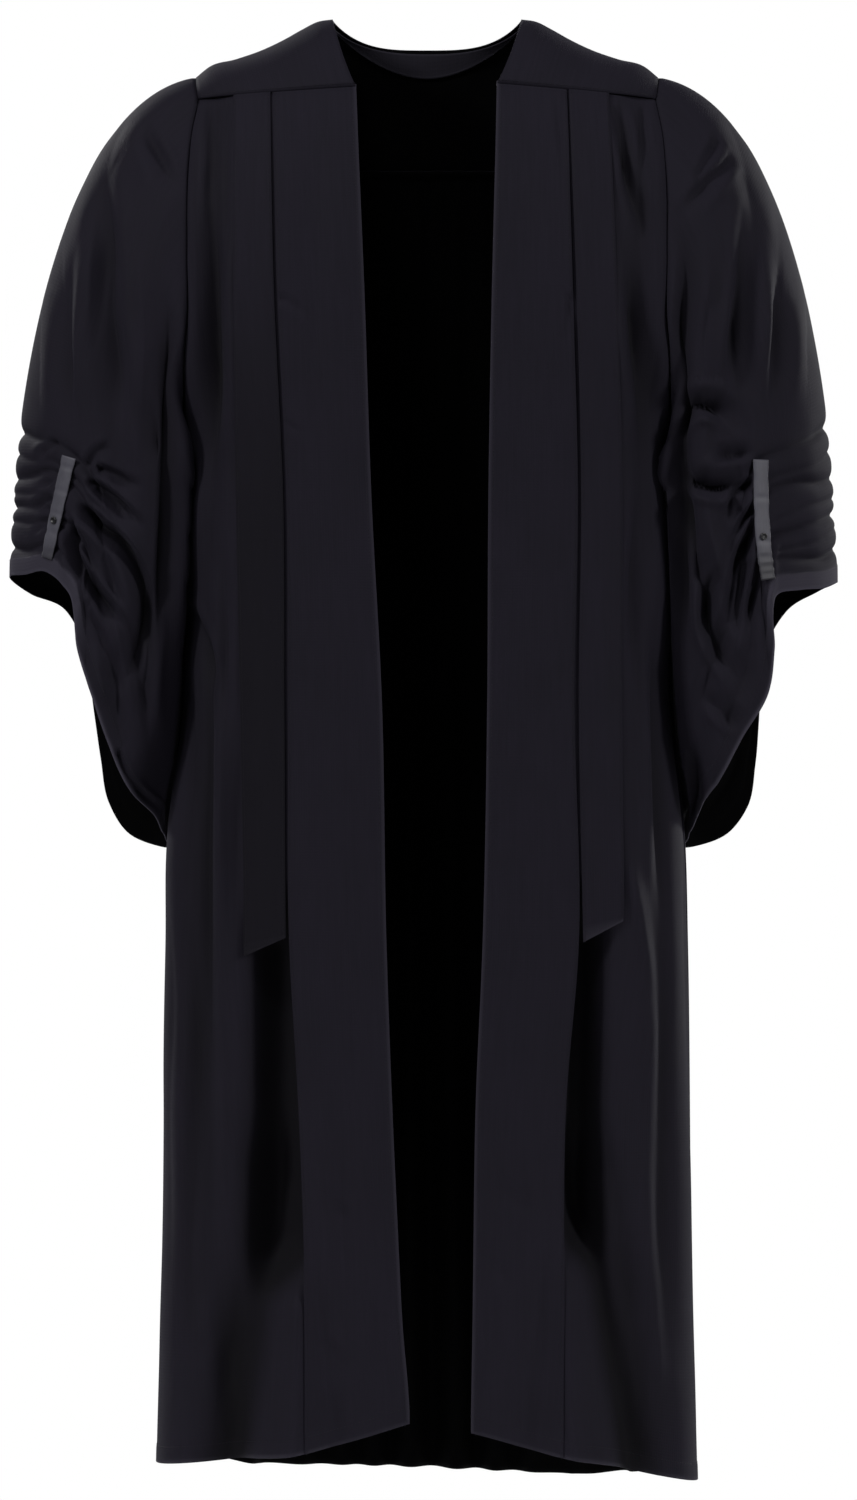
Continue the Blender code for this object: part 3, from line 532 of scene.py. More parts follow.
# Seams sink a little where two panels meet, and turned hems stand a little proud
SEAM_SINK, SEAM_SINK_RUN = 0.7, 2.2
ALLOWANCE, ALLOWANCE_DEPTH = 5.0, 1.7
TUCK_STEP, HELD_RUN = 0.2, 14
HEM_TURN, HEM_TURN_RISE, HEM_FOLD = 16.0, 0.5, 1.5
HEM_INSET, YOKE_INSET = HEM_TURN - HEM_FOLD, 3.0
BAND_INSET, BAND_FREE_INSET, STRIP_INSET = 4.0, 2.0, 2.0
STITCH_LENGTH, STITCH_WIDTH, STITCH_PITCH = 2.3, 0.45, 3.2
DRAWN_WARP, DRAWN_WEFT, WAVE_SCALE = 1.1, 1.3, 1 / 3.1416 / 2
# Deep folds' colour is painted darker as shade: up to this share towards this near black
HOLLOW_SHADE, FOLD_SHADE_BLACK = 0.83, "#060508"

# How far in from its pressed edges each kind of piece is painted lighter as a highlight, and by what share
EDGE_HIGHLIGHT = {
    "facing": (2.0, 1.0),
    "back": (2.5, 1.0),
    "front": (2.5, 0.5),
    "band": (2.0, 0.4),
    "strip": (1.6, 0.4),
    "sleeve": (2.5, 1.0),
}


def spline(knots, values, at):
    """A smooth curve through the values, read at some places."""
    knots, values, at = (np.asarray(v, float) for v in (knots, values, at))
    slopes = np.gradient(values, knots, axis=0)
    i = np.clip(np.searchsorted(knots, at, side="right") - 1, 0, len(knots) - 2)
    step = knots[i + 1] - knots[i]
    t = np.clip((at - knots[i]) / step, 0, 1)
    if values.ndim > 1:
        step, t = step[:, None], t[:, None]
    low = (1 + 2 * t) * (1 - t) ** 2 * values[i] + t * (1 - t) ** 2 * step * slopes[i]
    high = t * t * (3 - 2 * t) * values[i + 1] + t * t * (t - 1) * step * slopes[i + 1]
    return low + high


def column(source, name, at, key="z"):
    """One column of a table, read at some heights."""
    order = np.argsort(source[key])
    return spline(source[key][order], source[name][order], at)


def lengths(points):
    """The distance along a line of points, from its start to each of them."""
    steps = np.linalg.norm(np.diff(points, axis=0), axis=-1)
    return np.concatenate([[0.0], np.cumsum(steps)])


def hermite(start, leave, end, arrive, t):
    """A cubic from start to end with the given tangents."""
    return (
        (1 + 2 * t) * (1 - t) ** 2 * start
        + t * (1 - t) ** 2 * leave
        + t * t * (3 - 2 * t) * end
        + t * t * (t - 1) * arrive
    )


def ramp(value):
    """A soft step from 0 to 1."""
    t = np.clip(value, 0, 1)
    return t * t * (3 - 2 * t)


def body_x(z, y):
    """The half width of the body at a height and a depth; a depth below zero is in front."""
    depth = np.where(y < 0, column(BODY, "front", z), column(BODY, "back", z))
    power = column(BODY, "squareness", z)
    rest = np.clip(1 - (np.abs(y) / depth) ** power, 0, 1)
    return column(BODY, "half_width", z) * rest ** (1 / power)


def body_depth(z, x, face):
    """The depth of the body's front or back at a height and a half width."""
    power = column(BODY, "squareness", z)
    rest = np.clip(1 - (np.abs(x) / column(BODY, "half_width", z)) ** power, 0, 1)
    sign = -1 if face == "front" else 1
    return sign * column(BODY, face, z) * rest ** (1 / power)


def body_row(z, y_start, x_end, face, spacing, main, side):
    """Points of one level of the body from its side to x_end, evenly spaced from there."""
    level = np.full(ROW_SAMPLES, float(z))
    power = float(column(BODY, "squareness", [z])[0])
    wide = float(column(BODY, "half_width", [z])[0])
    deep = float(column(BODY, face, [z])[0])
    low = math.asin(min(1, abs(y_start) / deep) ** (power / 2))
    high = math.acos(min(1, x_end / wide) ** (power / 2))
    angle = np.linspace(high, low, ROW_SAMPLES)
    x = wide * np.cos(angle) ** (2 / power)
    y = deep * np.sin(angle) ** (2 / power) * (-1 if face == "front" else 1)
    line = np.column_stack([x, y, level])
    along = lengths(line)
    even = np.arange(main) * spacing
    rest = np.linspace(main * spacing, along[-1], side + 1)
    at = np.concatenate([even, rest])[::-1]
    return np.column_stack([np.interp(at, along, line[:, k]) for k in range(3)])


def body_normal(points):
    """The level outward direction of the body's surface at points near it."""
    x, y, z = points[..., 0], points[..., 1], points[..., 2]
    flat = z.ravel()
    power = column(BODY, "squareness", flat).reshape(z.shape)
    wide = column(BODY, "half_width", flat).reshape(z.shape)
    front = column(BODY, "front", flat).reshape(z.shape)
    back = column(BODY, "back", flat).reshape(z.shape)
    deep = np.where(y < 0, front, back)
    nx = np.sign(x) * (np.abs(x) / wide) ** (power - 1) / wide
    ny = np.sign(y) * (np.abs(y) / deep) ** (power - 1) / deep
    normal = np.stack([nx, ny, np.zeros_like(nx)], axis=-1)
    return normal / np.maximum(np.linalg.norm(normal, axis=-1, keepdims=True), 1e-9)


def edge_profile(share, y_seam, z_top, z_seam, lean):
    """The yoke's fall over the shoulder from its top to a seam, as depth and height."""
    drop = z_top - z_seam
    top = np.array([0.0, z_top])
    seam = np.array([y_seam, z_seam])
    leave = np.array([1.5 * y_seam, 0.0])
    arrive = np.array([math.copysign(lean * drop, y_seam), -drop]) * 1.35
    return hermite(top, leave, seam, arrive, share[:, None])


def armhole():
    """The armhole's half loops, front and back, from the shoulder to the underarm, x outwards."""
    line = np.column_stack([ARMHOLE["y"], ARMHOLE["z"]])
    along = lengths(line)
    under = along[UNDERARM_ROW]
    low_front = spline(along, line, np.linspace(0, under, ARM_FRONT_STEPS + 1))
    low_back = spline(along, line, np.linspace(along[-1], under, ARM_BACK_STEPS + 1))
    z_top = SHOULDER["z"][-1]
    loops = []
    for low, steps, lean in (
        (low_front, YOKE_FRONT_STEPS, FRONT_LEAN[0]),
        (low_back, YOKE_BACK_STEPS, BACK_LEAN[0]),
    ):
        share = np.linspace(0, 1, steps + 1)[:-1]
        top = edge_profile(share, low[0, 0], z_top, low[0, 1], lean)
        x_seam = body_x(low[:1, 1], low[:1, 0])[0]
        x_top = SHOULDER["x"][-1] + (x_seam - SHOULDER["x"][-1]) * share**2
        high = np.column_stack([x_top, top])
        rest = np.column_stack([body_x(low[:, 1], low[:, 0]), low])
        loops.append(np.vstack([high, rest]))
    return loops


ARM_FRONT, ARM_BACK = armhole()


def placed(points, side):
    """Points given for a half, x outwards, on the gown's left or right in the picture."""
    out = np.array(points, float)
    if side == "left":
        out[..., 0] *= -1
    return out


def surface_normals(grid, closed=False):
    """Directions square to a surface of rows and columns."""
    if closed:
        wide = np.concatenate([grid[:, -1:], grid, grid[:, :1]], axis=1)
        across = wide[:, 2:] - wide[:, :-2]
    else:
        across = np.gradient(grid, axis=1)
    down = np.gradient(grid, axis=0)
    normal = np.cross(across, down)
    return normal / np.maximum(np.linalg.norm(normal, axis=-1, keepdims=True), 1e-9)


def outward(grid, centre, closed=False):
    """The surface's directions, turned to face away from a centre."""
    normal = surface_normals(grid, closed)
    facing_out = np.einsum("ijk,ijk->ij", normal, grid - np.array(centre)).sum()
    return normal if facing_out > 0 else -normal


def edge_distance(grid, edge):
    """How far each point lies from the top, bottom, first or last edge, along the cloth."""
    axis = 0 if edge in ("top", "bottom") else 1
    steps = np.linalg.norm(np.diff(grid, axis=axis), axis=-1)
    start = np.zeros_like(grid[:1, :, 0] if axis == 0 else grid[:, :1, 0])
    along = np.concatenate([start, np.cumsum(steps, axis=axis)], axis=axis)
    if edge in ("top", "first"):
        return along
    return (along[-1:] if axis == 0 else along[:, -1:]) - along


def near_edges(grid, edges, run):
    """1 at the named edges, falling softly to 0 over a run."""
    near = np.zeros(grid.shape[:2])
    for edge in edges:
        near = np.maximum(near, np.exp(-((edge_distance(grid, edge) / run) ** 2)))
    return near


def painted_edge_highlight(grid, part, edges=("bottom",)):
    """How much lighter a piece is painted near its pressed edges, as a highlight."""
    run, share = EDGE_HIGHLIGHT[part]
    return near_edges(grid, edges, run) * share


def sink_seams(grid, normal, edges):
    """The same surface with the named edges sunk a little, where they are sewn."""
    return grid - normal * (SEAM_SINK * near_edges(grid, edges, SEAM_SINK_RUN))[..., None]


def tuck(grid, normal, edges):
    """The same surface with a seam allowance past the named edges, pressed in under its neighbour."""
    for edge in edges:
        rows = np.swapaxes(grid, 0, 1) if edge in ("first", "last") else grid
        out = np.swapaxes(normal, 0, 1) if edge in ("first", "last") else normal
        if edge in ("bottom", "last"):
            rows, out = rows[::-1], out[::-1]
        ahead = rows[0] - rows[1]
        ahead = ahead / np.maximum(np.linalg.norm(ahead, axis=-1, keepdims=True), 1e-9)
        under = rows[0] - out[0] * ALLOWANCE_DEPTH
        far = under + ahead * ALLOWANCE
        rows = np.concatenate([far[None], under[None] + ahead * TUCK_STEP, rows])
        out = np.concatenate([out[:1], out[:1], out])
        if edge in ("bottom", "last"):
            rows, out = rows[::-1], out[::-1]
        grid = np.swapaxes(rows, 0, 1) if edge in ("first", "last") else rows
        normal = np.swapaxes(out, 0, 1) if edge in ("first", "last") else out
    return grid


def painted_fold_shade(depth, side_columns=0):
    """How deep in a fold each point lies, from 0 to 1, with the rows and columns of seam allowances: how much
    painted shade darkens its colour.
    """
    depth = np.pad(depth, ((2, 0), (side_columns, 0)), mode="edge")
    return np.clip(depth / HOLLOW_DEPTH, 0, 1) ** HOLLOW_TURN


def turn_hem(grid, normal, edges):
    """The same surface, proud by the cloth turned up along the named edges."""
    rise = np.zeros(grid.shape[:2])
    for edge in edges:
        rise = np.maximum(rise, HEM_TURN_RISE * ramp((HEM_TURN - edge_distance(grid, edge)) / HEM_FOLD))
    return grid + normal * rise[..., None]


def crease_shape(aside):
    """A crease across its run: a narrow bottom and low rounded shoulders beside it."""
    away = np.abs(aside)
    return np.exp(-(away**CREASE_SHARP)) - CREASE_SHOULDER * np.exp(-(((away - 2.2) / 0.9) ** 2))


def line_depth(points, folds):
    """How far folds given as lines across and up draw each point in, crisper on one flank.
    Narrow folds start at once, as at the tape, and broad ones set in slowly."""
    x, z = np.abs(points[..., 0]), points[..., 2]
    total = np.zeros_like(x)
    for k, (path, width_start, width_end, depth) in enumerate(folds):
        path = np.array(path, float)
        along = lengths(path)
        line = spline(along, path, np.linspace(0, along[-1], int(along[-1] / LINE_STEP) + 4))
        reach = max(width_start, width_end) * LINE_REACH
        low, high = line.min(axis=0) - reach, line.max(axis=0) + reach
        near = (x > low[0]) & (x < high[0]) & (z > low[1]) & (z < high[1])
        if not near.any():
            continue
        place = np.column_stack([x[near], z[near]])
        step = np.diff(line, axis=0)
        apart = place[:, None] - line[None, :-1]
        t = np.clip((apart * step).sum(axis=-1) / (step**2).sum(axis=-1), 0, 1)
        gap = apart - t[..., None] * step
        away = np.hypot(gap[..., 0], gap[..., 1])
        best = away.argmin(axis=1)
        row = np.arange(len(place))
        share = (best + t[row, best]) / len(step)
        flank = gap[row, best, 0] * step[best, 1] - gap[row, best, 1] * step[best, 0]
        width = (width_start + (width_end - width_start) * share) / np.where(flank > 0, LINE_CRISP, LINE_SOFT)
        entry = LINE_ENTRY[0] if width_start < LINE_BROAD else LINE_ENTRY[1]
        ends = ramp(share / entry) * ramp((1 - share) / LINE_EXIT)
        if width_end > LINE_FLARE * width_start:
            ends = share
        uneven = 0.85 + 0.15 * np.sin(2.1 * k + 9 * share)
        total[near] += depth * ends * uneven * crease_shape(away[row, best] / width)
    return total


def yoke_half(side, face):
    """A shoulder part of the yoke, from the shoulder line to the front or back seam."""
    loop = ARM_FRONT if face == "front" else ARM_BACK
    steps = YOKE_FRONT_STEPS if face == "front" else YOKE_BACK_STEPS
    across = np.array(SHOULDER_SHARES)
    rise = np.linspace(0, 1, steps + 1)
    x_top = SHOULDER["x"][-1] + (SHOULDER["x"][0] - SHOULDER["x"][-1]) * across
    z_top = spline(SHOULDER["x"], SHOULDER["z"], x_top)
    if face == "front":
        x_in = EDGES[side + "_inner"][0]
        z_in, z_out = FRONT_SEAM[side]
        lean = FRONT_LEAN[0] + (FRONT_LEAN[1] - FRONT_LEAN[0]) * across
    else:
        x_in = SHOULDER["x"][0]
        z_in = z_out = BACK_SEAM_Z
        lean = BACK_LEAN[0] + (BACK_LEAN[1] - BACK_LEAN[0]) * across
    x_seam = loop[steps, 0] + (x_in - loop[steps, 0]) * across
    z_seam = z_out + (z_in - z_out) * across
    y_seam = body_depth(z_seam, x_seam, face)
    if face == "front":
        y_seam -= (LAY_GAP + BAND_WALL) * ramp((x_seam[0] - x_seam) / BAND_RAMP)
    grid = np.zeros((steps + 1, len(across), 3))
    for j in range(len(across)):
        fall = edge_profile(rise, y_seam[j], z_top[j], z_seam[j], lean[j])
        x_path = x_top[j] + (x_seam[j] - x_top[j]) * rise**2
        grid[:, j] = np.column_stack([x_path, fall])
    grid[:, 0] = loop[: steps + 1]
    return placed(grid, side)


def neckline(x):
    """The back neckline's depth and height at each x."""
    share = np.abs(x) / SHOULDER["x"][0]
    y = NECK_BACK * np.sqrt(np.clip(1 - share**NECK_TURN, 0, 1))
    z = NECK_LOW + (SHOULDER["z"][0] - NECK_LOW) * share**NECK_RISE
    return y, z


def yoke_neck():
    """The middle of the back yoke, from the neckline to the seam."""
    turn = np.linspace(-math.pi / 2, math.pi / 2, NECK_COLUMNS + 1)
    x = SHOULDER["x"][0] * np.sin(turn)
    rise = np.linspace(0, 1, YOKE_BACK_STEPS + 1)
    y_top, z_top = neckline(x)
    y_seam = body_depth(np.full(len(x), BACK_SEAM_Z), x, "back")
    grid = np.zeros((len(rise), len(x), 3))
    edge = edge_profile(rise, y_seam[0], SHOULDER["z"][0], BACK_SEAM_Z, BACK_LEAN[1])
    for j in range(len(x)):
        share = ramp(abs(x[j]) / SHOULDER["x"][0])
        bend = (edge[:, 0] - edge[0, 0]) / (edge[-1, 0] - edge[0, 0])
        drop = (edge[:, 1] - edge[0, 1]) / (edge[-1, 1] - edge[0, 1])
        steep = rise**0.9
        y = y_top[j] + (y_seam[j] - y_top[j]) * (bend * share + rise * (1 - share))
        z = z_top[j] + (BACK_SEAM_Z - z_top[j]) * (drop * share + steep * (1 - share))
        grid[:, j] = np.column_stack([np.full(len(rise), x[j]), y, z])
    return grid


def front_levels():
    """The heights of the fronts' rows, from the yoke seam to the hem."""
    upper = ARM_FRONT[YOKE_FRONT_STEPS:, 2]
    return np.concatenate([upper, FRONT_ROWS])


def fold_depth(points, folds, ridges_alone=False):
    """How far the main folds draw each point in, by its place across and up the front."""
    x, z = np.abs(points[..., 0]), points[..., 2]
    depth = np.zeros_like(x)
    for k in range(len(folds["depth"])):
        if ridges_alone and folds["depth"][k] > 0:
            continue
        run = (z - folds["z_top"][k]) / (folds["z_low"][k] - folds["z_top"][k])
        middle = folds["x_top"][k] + (folds["x_low"][k] - folds["x_top"][k]) * np.clip(run, 0, 1)
        beyond = np.maximum(z - folds["z_top"][k], folds["z_low"][k] - z)
        fade = 1 - ramp(beyond / FOLD_FADE)
        aside = np.abs(x - middle) / folds["width"][k]
        sharp = FOLD_SQUARENESS if folds["depth"][k] > FOLD_DEEP else 2.0
        depth += folds["depth"][k] * fade * np.exp(-(aside**sharp))
    return depth


def hem_level(z, x, side):
    """The height of a row near the hem, which follows the hem's own line."""
    hem = spline(HEM["x"], HEM[side], np.clip(np.abs(x).ravel(), HEM["x"][0], HEM["x"][-1]))
    share = ramp((z - (FRONT_ROWS[-1] + HEM_RISE)) / -HEM_RISE)
    return z + (hem.reshape(z.shape) - FRONT_ROWS[-1]) * share


def raised_to_seam(grid, side, gap):
    """The same rows, the upper ones raised to follow the yoke's front seam, a gap below it."""
    z_in, z_out = FRONT_SEAM[side]
    x_arm = ARM_FRONT[YOKE_FRONT_STEPS, 0]
    slope = (z_in - z_out) / (x_arm - EDGES[side + "_inner"][0])
    x, z = grid[..., 0], grid[..., 2]
    fade = 1 - ramp((z_out - z) / SEAM_RISE)
    raised = z + (slope * (x_arm - grid[0, :, 0]) - gap) * fade
    level = body_depth(z.ravel(), x.ravel(), "front")
    moved = body_depth(raised.ravel(), x.ravel(), "front") - level
    inner = ramp((x_arm - ARM_MARGIN - x) / ARM_RUN)
    out = grid.copy()
    out[..., 1] += moved.reshape(x.shape) * inner
    out[..., 2] = raised
    return out


def front_panel(side):
    """A front, from the armhole and side seam to under its band."""
    rows = []
    for i, z in enumerate(front_levels()):
        on_arm = i <= ARM_FRONT_STEPS
        y_start = ARM_FRONT[YOKE_FRONT_STEPS + i, 1] if on_arm else 0.0
        x_end = float(column(EDGES, side + "_outer", [z])[0]) - UNDER_BAND
        rows.append(body_row(z, y_start, x_end, "front", FRONT_SPACING, FRONT_MAIN, FRONT_SIDE))
    grid = np.array(rows)
    corner = CORNER_GAP * ramp((grid[0, :, 0] - CORNER_START) / ARM_RUN)
    grid = raised_to_seam(grid, side, SEAM_GAP + corner)
    grid[:, :, 2] = hem_level(grid[:, :, 2], grid[:, :, 0], side)
    held = 1 - near_edges(grid, ("top", "first"), HELD_RUN)
    drop = line_depth(grid, FRONT_LINES[side]) * held
    edge = column(EDGES, side + "_outer", np.clip(grid[..., 2].ravel(), EDGES["z"].min(), EDGES["z"].max()))
    free = ramp((grid[..., 0] - edge.reshape(drop.shape) + SEWN_START) / SEWN_WALL)
    deep = (fold_depth(grid, FRONT_FOLDS[side]) + drop) * free + line_depth(grid, HEM_FLARES[side])
    grid -= body_normal(grid) * deep[..., None]
    normal = outward(grid, BODY_CENTRE)
    grid = turn_hem(sink_seams(grid, normal, ("top", "first")), normal, ("bottom",))
    return placed(tuck(grid, normal, ("top", "first")), side), painted_fold_shade(deep, 2)


def over_front(side, inner, outer, shares, lift, creases):
    """Rows lying over the front between two edges, moved out from its surface."""
    rows = []
    for z in front_levels():
        x_low = float(column(inner[0], inner[1], [z])[0])
        x_high = float(column(outer[0], outer[1], [z])[0])
        x = x_high + (x_low - x_high) * np.array(shares)
        level = np.full(len(x), z)
        rows.append(np.column_stack([x, body_depth(level, x, "front"), level]))
    grid = raised_to_seam(np.array(rows), side, SEAM_GAP)
    grid[:, :, 2] = hem_level(grid[:, :, 2], grid[:, :, 0], side)
    raised = lift - fold_depth(grid, FRONT_FOLDS[side], True) - line_depth(grid, HEM_FLARES[side])
    held = 1 - near_edges(grid, ("top",), HELD_RUN)
    return grid + body_normal(grid) * (raised - line_depth(grid, creases) * held)[..., None]


def band(side):
    """A front band from the yoke seam to the hem, its outer margin lapping the front."""
    edges = (EDGES, side + "_inner"), (EDGES, side + "_outer")
    grid = over_front(side, *edges, BAND_SHARES, LAY_GAP + BAND_WALL, BAND_LINES[side])
    normal = outward(grid, BODY_CENTRE)
    grid = turn_hem(sink_seams(grid, normal, ("top",)), normal, ("bottom",))
    return placed(tuck(grid, normal, ("top",)), side)


def strip(side):
    """A hanging strip, sewn at the yoke seam and cut off on a slant."""
    lift = STRIP_GAP + WALL
    edges = (STRIP, side + "_inner"), (STRIP, side + "_outer")
    grid = over_front(side, *edges, STRIP_SHARES, lift, STRIP_LINES[side])
    z_outer, z_inner = STRIP_END[side]
    share = np.array(STRIP_SHARES)
    loose = STRIP_TILT[side] * (1 - share) * ramp((STRIP_HELD - grid[..., 2]) / STRIP_LOOSENING)
    grid += body_normal(grid) * loose[..., None]
    kept = [row for row in grid if row[:, 2].min() > max(z_outer, z_inner) + 3]
    x_outer = float(column(STRIP, side + "_outer", [z_outer])[0])
    x_inner = float(column(STRIP, side + "_inner", [z_inner])[0])
    x_end = x_outer + (x_inner - x_outer) * share
    z_end = z_outer + (z_inner - z_outer) * share
    last = np.column_stack([x_end, body_depth(z_end, x_end, "front"), z_end])
    last += body_normal(last) * (lift + loose[-1])[:, None]
    kept[-8:] = [row + (last - kept[-1]) * 0.5 * (i / 8) ** 2 for i, row in enumerate(kept[-8:])]
    whole = np.array(kept + [last])
    return placed(tuck(whole, outward(whole, BODY_CENTRE), ("top",)), side)


def back_seam():
    """The yoke's back seam from the left armhole to the right one."""
    left = yoke_half("left", "back")[-1]
    right = yoke_half("right", "back")[-1]
    return np.vstack([left[:-1], yoke_neck()[-1], right[-2::-1]])


def flute_wave(points):
    """How far the back's flutes stand out at each point, small under the yoke and wide at the hem."""
    x, z = points[..., 0], points[..., 2]
    fall = np.clip((BACK_SEAM_Z - z) / (BACK_SEAM_Z - BACK_ROWS[-1]), 0, 1)
    across = x / (FLUTED_WIDTH[0] + (FLUTED_WIDTH[1] - FLUTED_WIDTH[0]) * fall)
    sway = across + 0.03 * np.sin(4.7 * across + 0.7) + 0.02 * np.sin(11 * across + 3 * fall)
    flutes = np.sin(math.pi * FLUTES * sway) * (0.72 + 0.28 * np.sin(7 * across + 1.0))
    calm = 1 - ramp((np.abs(across) - FLUTE_CALM) / (1 - FLUTE_CALM))
    return FLUTE_DEPTH * (0.1 + 0.9 * ramp(fall * 1.05)) * flutes * calm * ramp(fall / 0.05)


def back_half(side):
    """One half of the back, from its side to the centre, without its folds."""
    upper = ARM_BACK[YOKE_BACK_STEPS:]
    levels = np.concatenate([upper[:, 2], BACK_ROWS])
    rows = []
    for i, z in enumerate(levels):
        y_start = max(upper[i, 1] if i < len(upper) else 0.0, SIDE_GAP)
        rows.append(body_row(z, y_start, 0.0, "back", BACK_SPACING, BACK_MAIN, BACK_SIDE))
    return placed(np.array(rows), side)


def gather_wave(grid, fall):
    """The small gathers sewn in under the yoke, each of its own length."""
    middle = grid.shape[1] // 2
    count = np.arange(grid.shape[1]) - middle
    place = np.clip(np.abs(count), 0, BACK_MAIN) * BACK_SPACING * np.sign(count)
    phase = place / GATHER_PITCH + 0.12 * np.sin(place / 31)
    reach = GATHER_FALL * (1 + 0.45 * np.sin(place / 23 + 1) + 0.25 * np.sin(place / 9))
    inner = 1 - ramp((np.abs(count) - BACK_MAIN + 4) / 8)
    waves = 0.5 - 0.5 * np.cos(2 * math.pi * phase)
    sharp = waves**0.8 * (0.8 + 0.3 * np.sin(place / 13))
    return GATHER_DEPTH * sharp * inner * (1 - ramp(fall / reach)) * ramp(fall / 0.012)


def back_panel():
    """The back from the yoke seam to the hem, between the armholes and the side seams."""
    left, right = back_half("left"), back_half("right")
    grid = np.concatenate([left, right[:, -2::-1]], axis=1)
    seam = back_seam()
    grid[0] = np.column_stack([np.interp(grid[0, :, 0], seam[:, 0], seam[:, k]) for k in range(3)])
    grid[0, :, 2] -= SEAM_GAP
    fall = (BACK_SEAM_Z - grid[..., 2]) / (BACK_SEAM_Z - BACK_ROWS[-1])
    grid += body_normal(grid) * (flute_wave(grid) - gather_wave(grid, fall))[..., None]
    low = ramp((grid[..., 2] - (BACK_ROWS[-1] + HEM_RISE)) / -HEM_RISE)
    hem = np.interp(grid[..., 0], BACK_HEM["x"], BACK_HEM["z"])
    grid[..., 2] += (hem - BACK_ROWS[-1]) * low
    normal = outward(grid, BODY_CENTRE)
    grid = sink_seams(grid, normal, ("top", "first", "last"))
    return tuck(turn_hem(grid, normal, ("bottom",)), normal, ("top", "first", "last"))


def sleeve_angles():
    """Columns round a sleeve: angles in degrees with the armhole loop's points, front half first."""
    front = lengths(ARM_FRONT)
    back = lengths(ARM_BACK)
    angle = np.concatenate([180 * front / front[-1], 360 - 180 * back[-2:0:-1] / back[-1]])
    loop = np.vstack([ARM_FRONT, ARM_BACK[-2:0:-1]])
    angles, points = [], []
    for k in range(len(angle)):
        after = (k + 1) % len(angle)
        angles.append(angle[k])
        points.append(loop[k])
        if FINE_ANGLES[0] < angle[k] < FINE_ANGLES[1]:
            angles.append((angle[k] + angle[after]) / 2)
            points.append((loop[k] + loop[after]) / 2)
    return np.array(angles), np.array(points)


def hem_loop(side, angle):
    """The sleeve's hem at each angle round it."""
    source = SLEEVE_HEM[side]
    line = np.column_stack([source["x"], source["y"], source["z"]])
    ring = np.vstack([line[-2:], line, line[:2]])
    along = lengths(ring)
    start, low, end = along[2], along[2 + HEM_LOW_ROW], along[2 + len(line)]
    at = np.interp(angle, [0, 180, 360], [start, low, end])
    return spline(along, ring, at)


def sleeve_surface(side, angle, start, stations):
    """A sleeve's smooth surface: a row of points round it at each station along it."""
    turn = np.radians(angle)
    top = np.cos(turn / 2) ** 2
    end = hem_loop(side, angle)
    reach = SLEEVE_START[1] + (SLEEVE_START[0] - SLEEVE_START[1]) * top
    leave = np.column_stack([0.12 + 0.88 * top, -0.12 * np.sin(turn), 0.84 * top - 1.0])
    leave *= reach[:, None]
    arrive = np.column_stack([column(SLEEVE_FALL, k, angle, "angle") for k in ("out", "back", "up")])
    begin = start + np.array([SEAM_GAP, 0.0, 0.0])
    rows = np.array([hermite(begin, leave, end, arrive, t) for t in stations])
    first, full, last, none = WRAP_ANGLES
    wrap = ramp((angle - first) / (full - first)) * ramp((none - angle) / (none - last))
    place = np.asarray(stations)
    held = ramp(place / 0.25) * (1 - ramp((place - 0.84) / 0.16))
    rows[..., 0] -= SLEEVE_WRAP * wrap * held[:, None]
    return clear_of_body(rows)


def clear_of_body(points):
    """The same points, those too near the body's side moved out to lie just clear of it."""
    x, y, z = points[..., 0], points[..., 1], points[..., 2]
    flat = z.ravel()
    gap = SEAM_GAP + SLEEVE_CLEARANCE * ramp((UNDERARM_Z - z) / CLEARANCE_RUN)
    wide = column(BODY, "half_width", flat).reshape(z.shape) + gap
    front = column(BODY, "front", flat).reshape(z.shape) + gap
    back = column(BODY, "back", flat).reshape(z.shape) + gap
    power = column(BODY, "squareness", flat).reshape(z.shape)
    deep = np.where(y < 0, front, back)
    reach = ((np.abs(x) / wide) ** power + (np.abs(y) / deep) ** power) ** (1 / power)
    grow = np.where((z < UNDERARM_Z) & (reach < 1), 1 / np.maximum(reach, DEEPEST_REACH), 1.0)
    out = points.copy()
    out[..., 0] *= grow
    out[..., 1] *= grow
    return out


def gather_drop(angle, along, side):
    """How far the gathers beside the tape draw the cloth in, each at its own place and slant."""
    turn = (angle + 180) % 360 - 180
    reach = ramp((turn + 120) / 60) * ramp((62 - turn) / 20)
    total = np.zeros(np.broadcast(angle, along).shape)
    for place, slant, width, depth in GATHER_LINES[side]:
        middle = place + slant * turn / 100 + 0.005 * np.sin(turn / 9 + 40 * place)
        away = np.abs(along - middle) * MM_PER_LENGTH / width
        total += depth * (0.8 + 0.2 * np.sin(turn / 8 + 60 * place)) * np.exp(-(away**1.2))
    return total * reach


def cuff_mark(grid):
    """How much lighter the hem turned up at the cuff is painted, as a highlight."""
    angle, _ = sleeve_angles()
    turn = np.abs((angle + 180) % 360 - 180)
    turned = ramp((HEM_TURN - edge_distance(grid, "bottom")) / HEM_FOLD)
    return CUFF_HIGHLIGHT * turned * ramp((CUFF_TURN - turn) / 20)[None]


def beside_tape(side, angle, along):
    """0 under the tape, where the listed folds stop, and 1 away from it. The gathers run on
    under the tape, which bridges them."""
    (angle_top, top), (angle_low, low) = TAPE_PATH[side]
    share = (along - top) / (low - top)
    middle = angle_top + (angle_low - angle_top) * np.clip(share, 0, 1)
    aside = np.abs((angle + 180) % 360 - 180 - middle) * MM_PER_DEGREE
    beyond = np.maximum(np.maximum(top - along, along - low), 0) * MM_PER_LENGTH
    return ramp((np.hypot(aside, beyond) - TAPE_WIDTH / 2) / TAPE_MARGIN)


